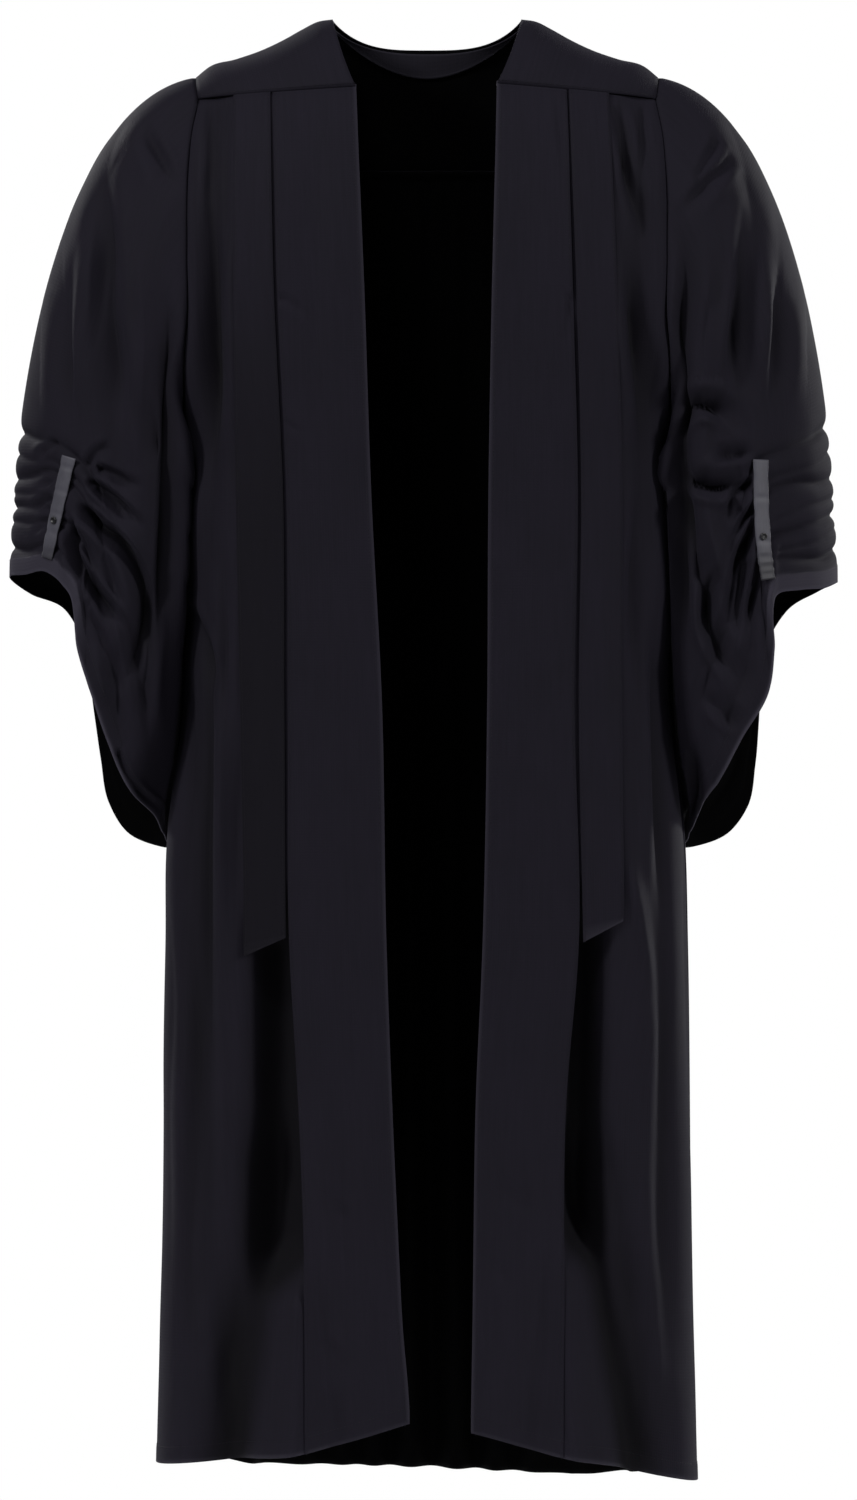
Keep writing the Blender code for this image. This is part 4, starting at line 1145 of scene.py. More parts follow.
def fan_drop(angle, along, folds):
    """How far folds given round and along the sleeve draw the cloth in."""
    total = np.zeros(np.broadcast(angle, along).shape)
    for k in range(len(folds["depth"])):
        across = (folds["angle_low"][k] - folds["angle"][k]) * MM_PER_DEGREE
        down = (folds["along_low"][k] - folds["along"][k]) * MM_PER_LENGTH
        length = math.hypot(across, down)
        u = (angle - folds["angle"][k]) * MM_PER_DEGREE
        v = (along - folds["along"][k]) * MM_PER_LENGTH
        run = (u * across + v * down) / length
        aside = (u * down - v * across) / length
        fade = ramp((run + FAN_ENTRY / 2) / FAN_ENTRY) * ramp((length + FAN_EXIT / 2 - run) / FAN_EXIT)
        total += folds["depth"][k] * fade * crease_shape(aside / folds["width"][k])
    return total


def sleeve(side):
    """A sleeve, its gathers, drag folds and creases sunk into its smooth surface."""
    angle, start = sleeve_angles()
    stations = SLEEVE_STATIONS
    grid = sleeve_surface(side, angle, start, stations)
    out = outward(grid, SLEEVE_CENTRE, True)
    at = angle[None], stations[:, None]
    ahead = ramp((FACING_TURN - out[..., 1]) / FACING_RUN)
    behind = ramp((FACING_TURN + out[..., 1]) / FACING_RUN)
    other = "right" if side == "left" else "left"
    drop = gather_drop(*at, side) + fan_drop(*at, FAN_FOLDS) * FAN_SHARE
    drop += line_depth(grid, SLEEVE_LINES[side]) * ahead * beside_tape(side, *at)
    drop += line_depth(grid, SLEEVE_LINES[other][1:]) * behind * BACK_LINES_SHARE
    drop = drop * ramp(stations / SLEEVE_ENTRY)[:, None]
    grid = grid - out * drop[..., None]
    normal = outward(grid, SLEEVE_CENTRE, True)
    grid = turn_hem(sink_seams(grid, normal, ("top",)), normal, ("bottom",))
    return placed(tuck(grid, normal, ("top",)), side), painted_fold_shade(drop)


def tape_line(side, along):
    """The tape's middle line on the sleeve: its points, outward directions and sideways ones."""
    (angle_top, top), (angle_low, low) = TAPE_PATH[side]
    ring, start = sleeve_angles()
    ring = np.append(ring, 360.0)
    start = np.vstack([start, start[:1]])
    points, outs = [], []
    for share in along:
        place = top + (low - top) * share
        angle = angle_top + (angle_low - angle_top) * share
        near = angle + np.array([-0.5, 0.0, 0.5])
        loop = np.column_stack([np.interp(near, ring, start[:, k]) for k in range(3)])
        patch = sleeve_surface(side, near, loop, place + np.array([-0.01, 0.0, 0.01]))
        points.append(patch[1, 1])
        outs.append(surface_normals(patch)[1, 1])
    points, outs = np.array(points), np.array(outs)
    aside = np.cross(outs, np.gradient(points, axis=0))
    aside /= np.linalg.norm(aside, axis=1, keepdims=True)
    return points, outs, aside


def tape(side):
    """The satin tape over the sleeve's gathers, drawn up into small puckers of its own."""
    along = np.linspace(0, 1, TAPE_STEPS + 1)
    points, outs, aside = tape_line(side, along)
    sunk = np.zeros((len(along), 1))
    for place, depth in TAPE_PUCKERS[side]:
        sunk[:, 0] += depth * np.exp(-(((along - place) / 0.018) ** 2))
    across = np.linspace(-0.5, 0.5, TAPE_COLUMNS + 1)
    crown = 0.5 * (1 - (2 * across) ** 2)
    frayed = 0.02 * np.sin(along * 41) + 0.03 * np.sin(along * 23 + 1)
    wide = TAPE_WIDTH * (1 - 0.05 * sunk + frayed[:, None])
    height = LAY_GAP + TAPE_WALL - np.minimum(sunk, 0.45) * (0.4 + 0.6 * np.cos(3 * across)) + crown
    face = points[:, None] + outs[:, None] * height[..., None]
    return placed(face + aside[:, None] * (across * wide)[..., None], side)


def facing():
    """The strip sewn inside the back neckline, on the yoke's inner face."""
    grid = yoke_neck()
    inward = surface_normals(grid)
    inward *= np.sign(inward[0, NECK_COLUMNS // 2, 1]) * -1
    columns = range(5, NECK_COLUMNS - 4)
    rows = []
    for i in range(FACING_ROWS + 1):
        row = []
        for j in columns:
            taper = 1 - FACING_TAPER * (abs(grid[0, j, 0]) / SHOULDER["x"][0]) ** 4
            depth = FACING_EDGE + (FACING_HEIGHT - FACING_EDGE) * i / FACING_ROWS * taper
            share = depth * YOKE_BACK_STEPS
            k = min(int(share), YOKE_BACK_STEPS - 1)
            t = share - k
            point = grid[k, j] * (1 - t) + grid[k + 1, j] * t
            lift = inward[k, j] * (1 - t) + inward[k + 1, j] * t
            row.append(point + lift * (WALL + SHELL + FACING_GAP * (1 + FACING_EASE * (1 - taper))))
        rows.append(row)
    return np.array(rows)


def path_of(grid, side_edge, inset, closed=False):
    """A line on a grid at a distance from one edge, for a row of stitches."""
    away = edge_distance(grid, side_edge)
    count = grid.shape[0] if side_edge in ("first", "last") else grid.shape[1]
    line = []
    for k in range(count):
        reach = away[k] if side_edge in ("first", "last") else away[:, k]
        points = grid[k] if side_edge in ("first", "last") else grid[:, k]
        order = np.argsort(reach)
        line.append([np.interp(inset, reach[order], points[order, c]) for c in range(3)])
    line = np.array(line)
    return np.vstack([line, line[:1]]) if closed else line


def to_linear(hex_colour):
    """An sRGB hex colour as linear red, green, blue and alpha."""
    value = np.array([int(hex_colour[k : k + 2], 16) for k in (1, 3, 5)]) / 255
    linear = np.where(value <= 0.04045, value / 12.92, ((value + 0.055) / 1.055) ** 2.4)
    return (*linear, 1.0)


def add(tree, kind, settings=None, inputs=None, links=None):
    """A node with its settings, its inputs' values and the sockets linked into it."""
    node = tree.nodes.new(kind)
    for name, value in (settings or {}).items():
        setattr(node, name, value)
    for name, value in (inputs or {}).items():
        node.inputs[name].default_value = value
    for name, socket in (links or {}).items():
        tree.links.new(socket, node.inputs[name])
    return node


def material(name, roughness, sheen, sheen_roughness, sheen_tint, specular):
    """An empty woven finish: its tree, shader and the cloth's own lengthwise and crosswise place."""
    made = bpy.data.materials.new(name)
    made.use_nodes = True
    tree = made.node_tree
    shader = tree.nodes["Principled BSDF"]
    shader.inputs["Metallic"].default_value = 0.0
    shader.inputs["Roughness"].default_value = roughness
    shader.inputs["IOR"].default_value = 1.5
    shader.inputs["Specular IOR Level"].default_value = specular
    shader.inputs["Sheen Weight"].default_value = sheen
    shader.inputs["Sheen Roughness"].default_value = sheen_roughness
    shader.inputs["Sheen Tint"].default_value = to_linear(sheen_tint)
    cut = add(tree, "ShaderNodeUVMap", {"uv_map": "cut"})
    return made, tree, shader, cut.outputs["UV"]


def weave_height(tree, place, warp_mm, weft_mm):
    """A plain weave's height: warp and weft ridges, each on top in turn."""
    scaled = add(
        tree,
        "ShaderNodeMapping",
        {"vector_type": "POINT"},
        {"Scale": (1000 / warp_mm, 1000 / weft_mm, 1.0)},
        {"Vector": place},
    )
    waves = []
    for direction in ("X", "Y"):
        waves.append(
            add(
                tree,
                "ShaderNodeTexWave",
                {"wave_type": "BANDS", "bands_direction": direction, "wave_profile": "SIN"},
                {"Scale": WAVE_SCALE, "Distortion": 0.25, "Detail": 1.0},
                {"Vector": scaled.outputs["Vector"]},
            ).outputs["Fac"]
        )
    turns = add(
        tree,
        "ShaderNodeTexChecker",
        None,
        {"Scale": 1.0, "Color1": (1, 1, 1, 1), "Color2": (0, 0, 0, 1)},
        {"Vector": scaled.outputs["Vector"]},
    )
    mix = add(tree, "ShaderNodeMix", {"data_type": "FLOAT"}, None, {"Factor": turns.outputs["Fac"]})
    tree.links.new(waves[0], mix.inputs["A"])
    tree.links.new(waves[1], mix.inputs["B"])
    return mix.outputs["Result"]


def shade_between(tree, fac, dark, light):
    """A colour between two sRGB hex colours."""
    mix = add(tree, "ShaderNodeMix", {"data_type": "RGBA"}, None, {"Factor": fac})
    mix.inputs["A"].default_value = to_linear(dark)
    mix.inputs["B"].default_value = to_linear(light)
    return mix.outputs["Result"]


def black_worsted(name, dark, light, highlight_colour, sheen=0.035, specular=0.16):
    """Fine black worsted, plain woven and pressed: matte, with a faint violet cast where light
    grazes it, slubs along the warp and lint. Pressed edges are painted a little lighter as a
    highlight, and deep folds are painted darker towards black as shade, by the piece's own
    attributes. The real threads are about 0.3 mm apart and too fine to show, so the weave is
    drawn about four times as coarse."""
    made, tree, shader, place = material(name, 0.82, sheen, 0.4, "#b4b0cc", specular)
    slub = add(tree, "ShaderNodeMapping", None, {"Scale": (420.0, 16.0, 1.0)}, {"Vector": place})
    streaks = add(
        tree,
        "ShaderNodeTexNoise",
        {"noise_dimensions": "2D"},
        {"Scale": 1.0, "Detail": 3.0, "Roughness": 0.55},
        {"Vector": slub.outputs["Vector"]},
    )
    clouds = add(
        tree,
        "ShaderNodeTexNoise",
        {"noise_dimensions": "2D"},
        {"Scale": 14.0, "Detail": 2.0, "Roughness": 0.5},
        {"Vector": place},
    )
    blend = add(
        tree,
        "ShaderNodeMix",
        {"data_type": "FLOAT"},
        {"Factor": 0.5},
        {"A": streaks.outputs["Fac"], "B": clouds.outputs["Fac"]},
    )
    ground = shade_between(tree, blend.outputs["Result"], dark, light)
    pressed = add(tree, "ShaderNodeAttribute", {"attribute_name": "pressed"})
    edge = add(tree, "ShaderNodeMix", {"data_type": "RGBA"}, None, {"Factor": pressed.outputs["Fac"]})
    tree.links.new(ground, edge.inputs["A"])
    edge.inputs["B"].default_value = to_linear(highlight_colour)
    hollow = add(tree, "ShaderNodeAttribute", {"attribute_name": "hollow"})
    kept = add(
        tree, "ShaderNodeMapRange", None, {"To Max": HOLLOW_SHADE}, {"Value": hollow.outputs["Fac"]}
    )
    deep = add(tree, "ShaderNodeMix", {"data_type": "RGBA"}, None, {"Factor": kept.outputs["Result"]})
    tree.links.new(edge.outputs["Result"], deep.inputs["A"])
    deep.inputs["B"].default_value = to_linear(FOLD_SHADE_BLACK)
    tree.links.new(deep.outputs["Result"], shader.inputs["Base Color"])
    rough = add(tree, "ShaderNodeMapRange", None, {"To Min": 0.74, "To Max": 0.88})
    tree.links.new(clouds.outputs["Fac"], rough.inputs["Value"])
    tree.links.new(rough.outputs["Result"], shader.inputs["Roughness"])
    weave = weave_height(tree, place, DRAWN_WARP, DRAWN_WEFT)
    threads = add(tree, "ShaderNodeBump", None, {"Strength": 0.25, "Distance": 0.00025}, {"Height": weave})
    grain = add(
        tree,
        "ShaderNodeBump",
        None,
        {"Strength": 0.2, "Distance": 0.0004},
        {"Height": streaks.outputs["Fac"], "Normal": threads.outputs["Normal"]},
    )
    tree.links.new(grain.outputs["Normal"], shader.inputs["Normal"])
    return made


def grey_satin(name):
    """Polyester satin ribbon, woven with long floats: smooth, with a soft silvery shine across it.
    Its colour is painted darker towards the lower end, as shade."""
    made, tree, shader, place = material(name, 0.52, 0.08, 0.4, "#e6e6f0", 0.4)
    floats = add(tree, "ShaderNodeMapping", None, {"Scale": (1400.0, 60.0, 1.0)}, {"Vector": place})
    grain = add(
        tree,
        "ShaderNodeTexNoise",
        {"noise_dimensions": "2D"},
        {"Scale": 1.0, "Detail": 2.0, "Roughness": 0.6},
        {"Vector": floats.outputs["Vector"]},
    )
    clouds = add(
        tree,
        "ShaderNodeTexNoise",
        {"noise_dimensions": "2D"},
        {"Scale": 90.0, "Detail": 2.0},
        {"Vector": place},
    )
    blend = add(
        tree,
        "ShaderNodeMix",
        {"data_type": "FLOAT"},
        {"Factor": 0.6},
        {"A": grain.outputs["Fac"], "B": clouds.outputs["Fac"]},
    )
    bright = shade_between(tree, blend.outputs["Result"], "#3f3e47", "#5a5963")
    down = add(tree, "ShaderNodeSeparateXYZ", None, None, {"Vector": place})
    towards_lower_end = add(
        tree,
        "ShaderNodeMapRange",
        {"interpolation_type": "SMOOTHSTEP"},
        {"From Min": 0.072, "From Max": 0.098},
        {"Value": down.outputs["Y"]},
    )
    tape_shade = add(tree, "ShaderNodeMix", {"data_type": "RGBA"}, None, {"Factor": towards_lower_end.outputs["Result"]})
    tree.links.new(bright, tape_shade.inputs["A"])
    tape_shade.inputs["B"].default_value = to_linear("#2b2a31")
    tree.links.new(tape_shade.outputs["Result"], shader.inputs["Base Color"])
    bump = add(
        tree, "ShaderNodeBump", None, {"Strength": 0.3, "Distance": 0.0002}, {"Height": grain.outputs["Fac"]}
    )
    tree.links.new(bump.outputs["Normal"], shader.inputs["Normal"])
    return made


def polyester_thread(name):
    """Black sewing thread, twisted and slightly shiny."""
    made = bpy.data.materials.new(name)
    made.use_nodes = True
    tree = made.node_tree
    shader = tree.nodes["Principled BSDF"]
    shader.inputs["Roughness"].default_value = 0.5
    shader.inputs["IOR"].default_value = 1.5
    shader.inputs["Sheen Weight"].default_value = 0.03
    shader.inputs["Specular IOR Level"].default_value = 0.2
    where = add(tree, "ShaderNodeTexCoord")
    place = where.outputs["Object"]
    noise = add(tree, "ShaderNodeTexNoise", None, {"Scale": 1500.0, "Detail": 1.0}, {"Vector": place})
    colour = shade_between(tree, noise.outputs["Fac"], "#100f15", "#1d1b24")
    tree.links.new(colour, shader.inputs["Base Color"])
    return made


def moulded_button(name):
    """A small button of moulded polyester: dull black with a fine grain."""
    made = bpy.data.materials.new(name)
    made.use_nodes = True
    tree = made.node_tree
    shader = tree.nodes["Principled BSDF"]
    shader.inputs["IOR"].default_value = 1.52
    where = add(tree, "ShaderNodeTexCoord")
    place = where.outputs["Object"]
    noise = add(tree, "ShaderNodeTexNoise", None, {"Scale": 900.0, "Detail": 3.0}, {"Vector": place})
    colour = shade_between(tree, noise.outputs["Fac"], "#0c0c0e", "#1c1c20")
    tree.links.new(colour, shader.inputs["Base Color"])
    rough = add(tree, "ShaderNodeMapRange", None, {"To Min": 0.28, "To Max": 0.5})
    tree.links.new(noise.outputs["Fac"], rough.inputs["Value"])
    tree.links.new(rough.outputs["Result"], shader.inputs["Roughness"])
    bump = add(
        tree, "ShaderNodeBump", None, {"Strength": 0.15, "Distance": 0.0001}, {"Height": noise.outputs["Fac"]}
    )
    tree.links.new(bump.outputs["Normal"], shader.inputs["Normal"])
    return made


def grid_mesh(grid, closed, pressed):
    """A mesh from one grid of points, its UV map the cloth's own lengths, its edges marked pressed."""
    rows, columns = grid.shape[:2]
    count = columns if closed else columns - 1
    i, j = np.meshgrid(np.arange(rows - 1), np.arange(count), indexing="ij")
    i, j = i.ravel(), j.ravel()
    after = (j + 1) % columns
    upper, lower = i * columns, (i + 1) * columns
    quads = np.column_stack([upper + j, lower + j, lower + after, upper + after])
    wide = np.concatenate([grid, grid[:, :1]], axis=1) if closed else grid
    across = edge_distance(wide, "first")
    across = across - across[:, across.shape[1] // 2][:, None]
    down = np.broadcast_to(edge_distance(wide, "top").mean(axis=1)[:, None], across.shape)
    places = np.stack([across, down], axis=-1) * MM
    corners = ((i, j), (i + 1, j), (i + 1, j + 1), (i, j + 1))
    cut = np.stack([places[a, b] for a, b in corners], axis=1)
    return grid.reshape(-1, 3) * MM, quads, cut, pressed.ravel()


def cloth(
    name, grids, wall, finishes, node, closed=False, centre=YOKE_CENTRE, pressed=None, hollow=None
):
    """A thin shell of cloth on the outer surface that the grids give, standing for its CAD node."""
    finish, inner_shade_finish = finishes
    vertices, quads, cuts, marks, painted_shades = [], [], [], [], []
    total = 0
    for k, grid in enumerate(grids):
        mark = np.zeros(grid.shape[:2]) if pressed is None else pressed[k]
        painted_shades.append(np.zeros(mark.size) if hollow is None else hollow.ravel())
        points, faces, cut, flat_mark = grid_mesh(grid, closed, mark)
        middle = points[faces].mean(axis=1)
        side_a = points[faces[:, 2]] - points[faces[:, 0]]
        side_b = points[faces[:, 3]] - points[faces[:, 1]]
        away = middle - np.array(centre) * MM
        if (np.cross(side_a, side_b) * away).sum() < 0:
            faces, cut = faces[:, ::-1], cut[:, ::-1]
        vertices.append(points)
        quads.append(faces + total)
        cuts.append(cut)
        marks.append(flat_mark)
        total += len(points)
    data = bpy.data.meshes.new(name)
    data.from_pydata(np.concatenate(vertices).tolist(), [], np.concatenate(quads).tolist())
    layer = data.uv_layers.new(name="cut")
    layer.data.foreach_set("uv", np.concatenate(cuts).reshape(-1))
    # Pressed edges get a painted highlight and deep folds a painted shade, by these attributes
    for label, values in (("pressed", marks), ("hollow", painted_shades)):
        layer = data.attributes.new(label, "FLOAT", "POINT")
        layer.data.foreach_set("value", np.concatenate(values))
    piece = bpy.data.objects.new(name, data)
    bpy.context.scene.collection.objects.link(piece)
    if len(grids) > 1:
        weld = piece.modifiers.new("joined", "WELD")
        weld.merge_threshold = 1e-6
    data.shade_smooth()
    data.materials.append(finish)
    if inner_shade_finish:
        data.materials.append(inner_shade_finish)
    # The shell's inner faces take the second finish, whose colour is painted shade
    shell = piece.modifiers.new("shell", "SOLIDIFY")
    shell.material_offset = 1 if inner_shade_finish else 0
    shell.thickness = wall * MM
    shell.offset = -1.0
    shell.use_quality_normals = True
    flatten(piece)
    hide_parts(node)
    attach(piece, "root")
    return piece


def flatten(piece):
    """Turns what the modifiers make into the piece's own plain mesh."""
    graph = bpy.context.evaluated_depsgraph_get()
    data = bpy.data.meshes.new_from_object(piece.evaluated_get(graph), depsgraph=graph)
    piece.modifiers.clear()
    piece.data = data


def stitch_tree(finish):
    """Geometry Nodes that lay small raised stitches along lines at an even pitch."""
    tree = bpy.data.node_groups.new("seam_stitches", "GeometryNodeTree")
    tree.interface.new_socket(name="Lines", in_out="INPUT", socket_type="NodeSocketGeometry")
    for name, value in (("Pitch", STITCH_PITCH), ("Length", STITCH_LENGTH), ("Width", STITCH_WIDTH)):
        socket = tree.interface.new_socket(name=name, in_out="INPUT", socket_type="NodeSocketFloat")
        socket.default_value = value * MM
    tree.interface.new_socket(name="Stitches", in_out="OUTPUT", socket_type="NodeSocketGeometry")
    given = add(tree, "NodeGroupInput")
    lines = add(tree, "GeometryNodeMeshToCurve", None, None, {"Mesh": given.outputs["Lines"]})
    points = add(
        tree,
        "GeometryNodeCurveToPoints",
        {"mode": "LENGTH"},
        None,
        {"Curve": lines.outputs["Curve"], "Length": given.outputs["Pitch"]},
    )
    bead = add(tree, "GeometryNodeMeshUVSphere", None, {"Segments": 5, "Rings": 4, "Radius": 0.5})
    scale = add(
        tree,
        "ShaderNodeCombineXYZ",
        None,
        None,
        {"X": given.outputs["Width"], "Y": given.outputs["Width"], "Z": given.outputs["Length"]},
    )
    stitch = add(
        tree,
        "GeometryNodeTransform",
        None,
        None,
        {"Geometry": bead.outputs["Mesh"], "Scale": scale.outputs["Vector"]},
    )
    laid = add(
        tree,
        "GeometryNodeInstanceOnPoints",
        None,
        None,
        {
            "Points": points.outputs["Points"],
            "Instance": stitch.outputs["Geometry"],
            "Rotation": points.outputs["Rotation"],
        },
    )
    real = add(tree, "GeometryNodeRealizeInstances", None, None, {"Geometry": laid.outputs["Instances"]})
    rows = real.outputs["Geometry"]
    dressed = add(tree, "GeometryNodeSetMaterial", None, {"Material": finish}, {"Geometry": rows})
    add(tree, "NodeGroupOutput", None, None, {"Stitches": dressed.outputs["Geometry"]})
    return tree


def stitches(name, lines, tree):
    """Rows of stitches along lines of points, as one plain mesh."""
    vertices, edges = [], []
    for line in lines:
        first = len(vertices)
        vertices.extend((np.asarray(line) * MM).tolist())
        edges.extend((first + k, first + k + 1) for k in range(len(line) - 1))
    data = bpy.data.meshes.new(name)
    data.from_pydata(vertices, edges, [])
    piece = bpy.data.objects.new(name, data)
    bpy.context.scene.collection.objects.link(piece)
    modifier = piece.modifiers.new("stitches", "NODES")
    modifier.node_group = tree
    flatten(piece)
    piece.data.shade_smooth()
    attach(piece, "root")
    return piece


def button(side, finish):
    """A small turned button on the tape: a rim, a dished face and a flat back."""
    points, outs, _ = tape_line(side, BUTTON_PLACE + np.array([-0.05, 0.0, 0.05]))
    out = placed(outs[1], side)
    low = placed(points[1], side) + out * (2 * LAY_GAP + TAPE_WALL)
    helper = np.array([0.0, 0.0, 1.0])
    across = np.cross(helper, out)
    across /= np.linalg.norm(across)
    up = np.cross(out, across)
    profile, turns = BUTTON_PROFILE, BUTTON_TURNS
    vertices, faces = [], []
    for radius, height in profile[1:-1]:
        for k in range(turns):
            angle = 2 * math.pi * k / turns
            level = low + out * height
            vertices.append(level + (across * math.cos(angle) + up * math.sin(angle)) * radius)
    rings = len(profile) - 2
    base, top = len(vertices), len(vertices) + 1
    vertices.extend([low + out * profile[0][1], low + out * profile[-1][1]])
    for r in range(rings - 1):
        for k in range(turns):
            after = (k + 1) % turns
            faces.append((r * turns + k, r * turns + after, (r + 1) * turns + after, (r + 1) * turns + k))
    for k in range(turns):
        after = (k + 1) % turns
        faces.append((base, after, k))
        faces.append((top, (rings - 1) * turns + k, (rings - 1) * turns + after))
    data = bpy.data.meshes.new("button_" + side)
    data.from_pydata((np.array(vertices) * MM).tolist(), [], faces)
    data.shade_smooth()
    data.materials.append(finish)
    piece = bpy.data.objects.new("sleeve_button_" + side, data)
    bpy.context.scene.collection.objects.link(piece)
    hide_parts("button_" + side)
    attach(piece, "root")
    return piece


def make_gown():
    """Every piece of the gown, with its stitches."""
    stuff = black_worsted("black_worsted_stuff", "#14121b", "#211e29", "#474450")
    # The facing is the same stuff, its colour painted lighter as light on the inside of the back neck
    inside = black_worsted("black_worsted_facing", "#1e1c24", "#2c2a33", "#3a3842")
    satin = grey_satin("grey_satin_ribbon")
    # The inner faces' colour is set much darker than the outer faces', as painted shade, and their finish
    # duller
    dull = black_worsted("black_worsted_wrong_side", "#040405", "#070708", "#0a0a0c", 0.0, 0.03)
    stuff, inside, satin = (stuff, dull), (inside, dull), (satin, None)
    thread = polyester_thread("black_polyester_thread")
    plastic = moulded_button("black_moulded_button")
    tree = stitch_tree(thread)
    made = {}

    yoke = [
        yoke_half("left", "front"),
        yoke_half("left", "back"),
        yoke_neck(),
        yoke_half("right", "back"),
        yoke_half("right", "front"),
    ]
    lifted = []
    for grid in yoke:
        normal = outward(grid, YOKE_CENTRE)
        lifted.append(sink_seams(grid, normal, ("bottom",)))
    made["yoke"] = cloth("yoke_cloth", lifted, SHELL, stuff, "yoke")
    rows = [path_of(grid, "bottom", YOKE_INSET) for grid in yoke]
    made["yoke_stitches"] = stitches("yoke_stitches", rows, tree)
    face = facing()
    mark = [painted_edge_highlight(face, "facing")]
    made["neck_facing"] = cloth(
        "neck_facing_cloth", [face], SHELL, inside, "neck_facing", False, BEHIND_NECK, mark
    )
    back = back_panel()
    mark = [painted_edge_highlight(back, "back")]
    made["back"] = cloth("back_cloth", [back], SHELL, stuff, "back", pressed=mark)
    hem_rows = [path_of(back[:, 2:-2], "bottom", HEM_INSET)]
    made["back_stitches"] = stitches("back_stitches", hem_rows, tree)
    for side in ("left", "right"):
        front, front_painted_shade = front_panel(side)
        mark = [painted_edge_highlight(front, "front")]
        made["front_" + side] = cloth(
            f"front_{side}_cloth",
            [front],
            SHELL,
            stuff,
            "front_" + side,
            pressed=mark,
            hollow=front_painted_shade,
        )
        strap = band(side)
        mark = [painted_edge_highlight(strap, "band", ("bottom", "last"))]
        made["band_" + side] = cloth(
            f"band_{side}_cloth", [strap], BAND_SHELL, stuff, "band_" + side, pressed=mark
        )
        hanging = strip(side)
        mark = [painted_edge_highlight(hanging, "strip")]
        made["strip_" + side] = cloth(
            f"strip_{side}_cloth",
            [hanging],
            SHELL,
            stuff,
            "strip_" + side,
            pressed=mark,
            hollow=STRIP_SHADE[side] * ramp((SHADE_START - hanging[..., 2]) / SHADE_RUN),
        )
        arm, arm_painted_shade = sleeve(side)
        mark = [np.maximum(painted_edge_highlight(arm, "sleeve"), cuff_mark(arm))]
        made["sleeve_" + side] = cloth(
            f"sleeve_{side}_cloth",
            [arm],
            SHELL,
            stuff,
            "sleeve_" + side,
            True,
            placed(SLEEVE_CENTRE, side),
            mark,
            arm_painted_shade,
        )
        ribbon = tape(side)
        made["tape_" + side] = cloth(
            f"tape_{side}_ribbon",
            [ribbon],
            TAPE_SHELL,
            satin,
            "tape_" + side,
            False,
            placed(TAPE_CENTRE, side),
        )
        made["button_" + side] = button(side, plastic)
        rows = [
            path_of(front[:, 2:], "bottom", HEM_INSET),
            path_of(strap, "first", BAND_FREE_INSET),
            path_of(strap, "last", BAND_INSET),
            path_of(strap, "bottom", HEM_INSET),
            path_of(hanging, "first", STRIP_INSET),
            path_of(hanging, "last", STRIP_INSET),
        ]
        made[f"front_{side}_stitches"] = stitches(f"front_{side}_stitches", rows, tree)
        rows = [path_of(arm, "bottom", HEM_INSET, True)]
        made[f"sleeve_{side}_stitches"] = stitches(f"sleeve_{side}_stitches", rows, tree)
    return made


def plain_surface(name, colour, roughness):
    """A matte studio surface of one pale colour."""
    made = bpy.data.materials.new(name)
    made.use_nodes = True
    shader = made.node_tree.nodes["Principled BSDF"]
    shader.inputs["Base Color"].default_value = to_linear(colour)
    shader.inputs["Roughness"].default_value = roughness
    return made


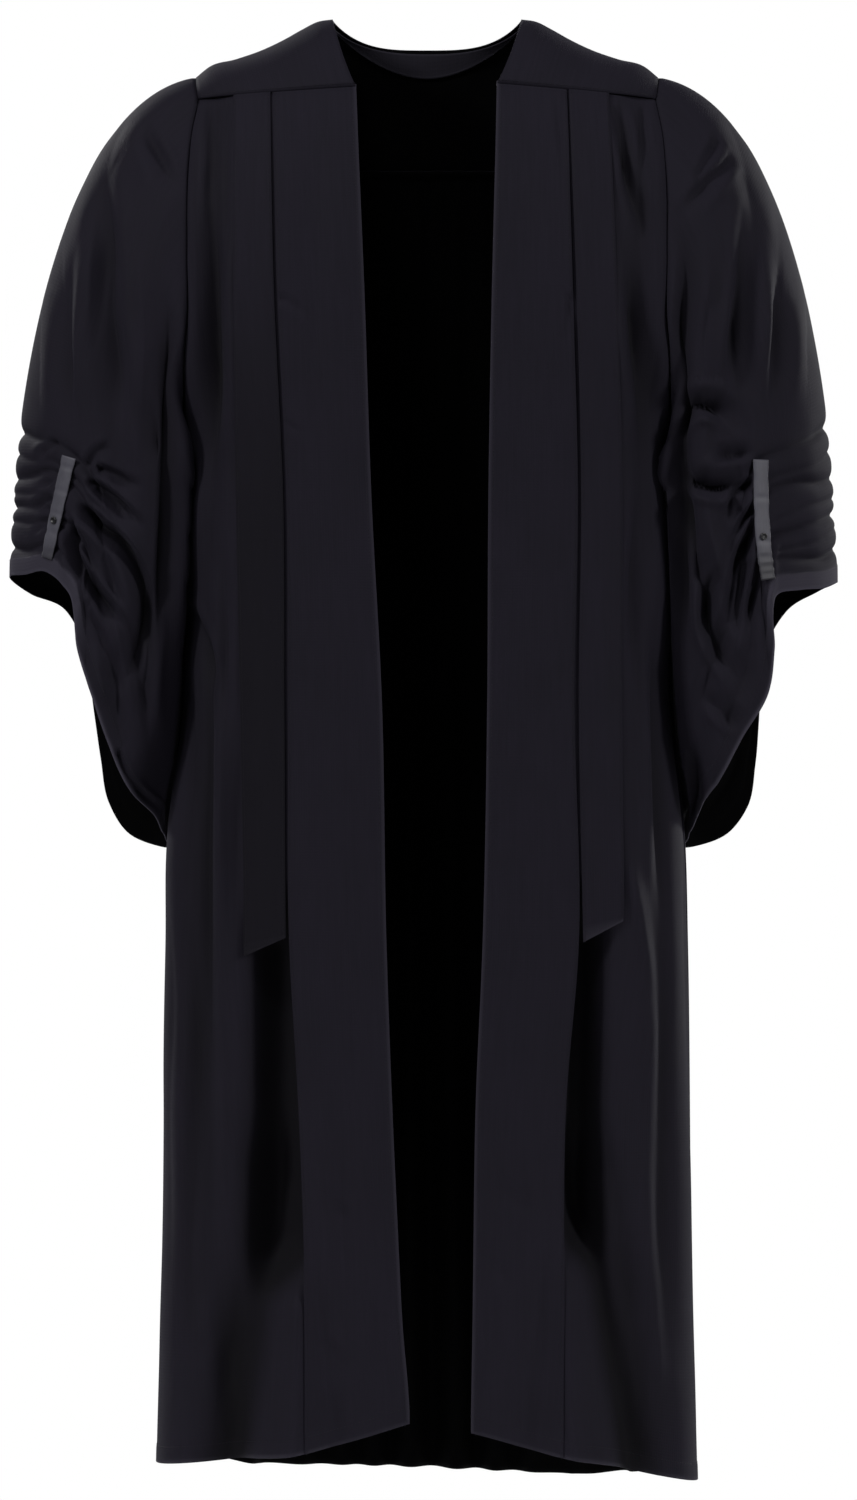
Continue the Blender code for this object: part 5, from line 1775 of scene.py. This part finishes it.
def make_studio():
    """A plain pale floor well below the hem, soft lights and white surroundings."""
    bpy.ops.mesh.primitive_circle_add(vertices=96, radius=FLOOR_RADIUS, fill_type="NGON")
    floor = bpy.context.object
    floor.name = "studio_floor"
    floor.location = (0.0, 0.0, FLOOR_HEIGHT)
    floor.data.materials.append(plain_surface("pale_studio_floor", "#f7f7f7", 0.9))
    for name, place, target, size, power in LIGHTS:
        light = bpy.data.lights.new(name, "AREA")
        light.shape = "RECTANGLE"
        light.size, light.size_y = size
        light.energy = power
        lamp = bpy.data.objects.new(name, light)
        lamp.location = place
        lamp.rotation_euler = (Vector(target) - Vector(place)).to_track_quat("-Z", "Y").to_euler()
        bpy.context.scene.collection.objects.link(lamp)
    world = bpy.data.worlds.new("white_surroundings")
    world.use_nodes = True
    tree = world.node_tree
    glow = tree.nodes["Background"]
    glow.inputs["Strength"].default_value = SKY_STRENGTH
    white = add(tree, "ShaderNodeBackground", None, {"Color": (1.0, 1.0, 1.0, 1.0), "Strength": 1.0})
    glow.inputs["Color"].default_value = (1.0, 1.0, 1.0, 1.0)
    seen = add(tree, "ShaderNodeLightPath")
    both = add(tree, "ShaderNodeMixShader", None, None, {"Fac": seen.outputs["Is Camera Ray"]})
    tree.links.new(glow.outputs["Background"], both.inputs[1])
    tree.links.new(white.outputs["Background"], both.inputs[2])
    tree.links.new(both.outputs["Shader"], tree.nodes["World Output"].inputs["Surface"])
    bpy.context.scene.world = world
    bpy.context.scene.view_settings.view_transform = "Standard"


def make_camera():
    """The photograph's level view from the front, its frame 1.32 m tall at the gown."""
    lens = bpy.data.cameras.new("camera")
    lens.sensor_width = 36.0
    lens.lens = 36.0 * CAMERA_DISTANCE / FRAME_HEIGHT
    lens.clip_end = 60.0
    camera = bpy.data.objects.new("camera", lens)
    camera.location = (CAMERA_ASIDE, -CAMERA_DISTANCE, CAMERA_HEIGHT)
    camera.rotation_euler = (math.pi / 2, 0.0, 0.0)
    bpy.context.scene.collection.objects.link(camera)
    bpy.context.scene.camera = camera


# Studio sizes, in metres, degrees and watts
CAMERA_DISTANCE, FRAME_HEIGHT = 7.0, 1.32
CAMERA_ASIDE, CAMERA_HEIGHT = 0.0013, -0.6116
FLOOR_RADIUS, FLOOR_HEIGHT = 1.6, -1.5
SKY_STRENGTH = 0.07
LIGHTS = (
    ("left_light", (-3.1, -2.3, 1.8), (0, 0, -0.6), (0.6, 0.8), 82.0),
    ("right_light", (3.5, -2.0, 1.0), (0, 0, -0.5), (0.6, 0.8), 66.0),
    ("top_light", (-1.0, -2.6, 2.9), (0, 0, -0.3), (0.9, 0.6), 36.0),
    ("back_light_left", (-2.2, 3.1, 1.5), (0, 0, -0.6), (0.9, 0.9), 70.0),
    ("back_light_right", (2.8, 2.6, 0.6), (0, 0, -0.6), (0.9, 0.9), 60.0),
)


make_camera()
gown = make_gown()
make_studio()
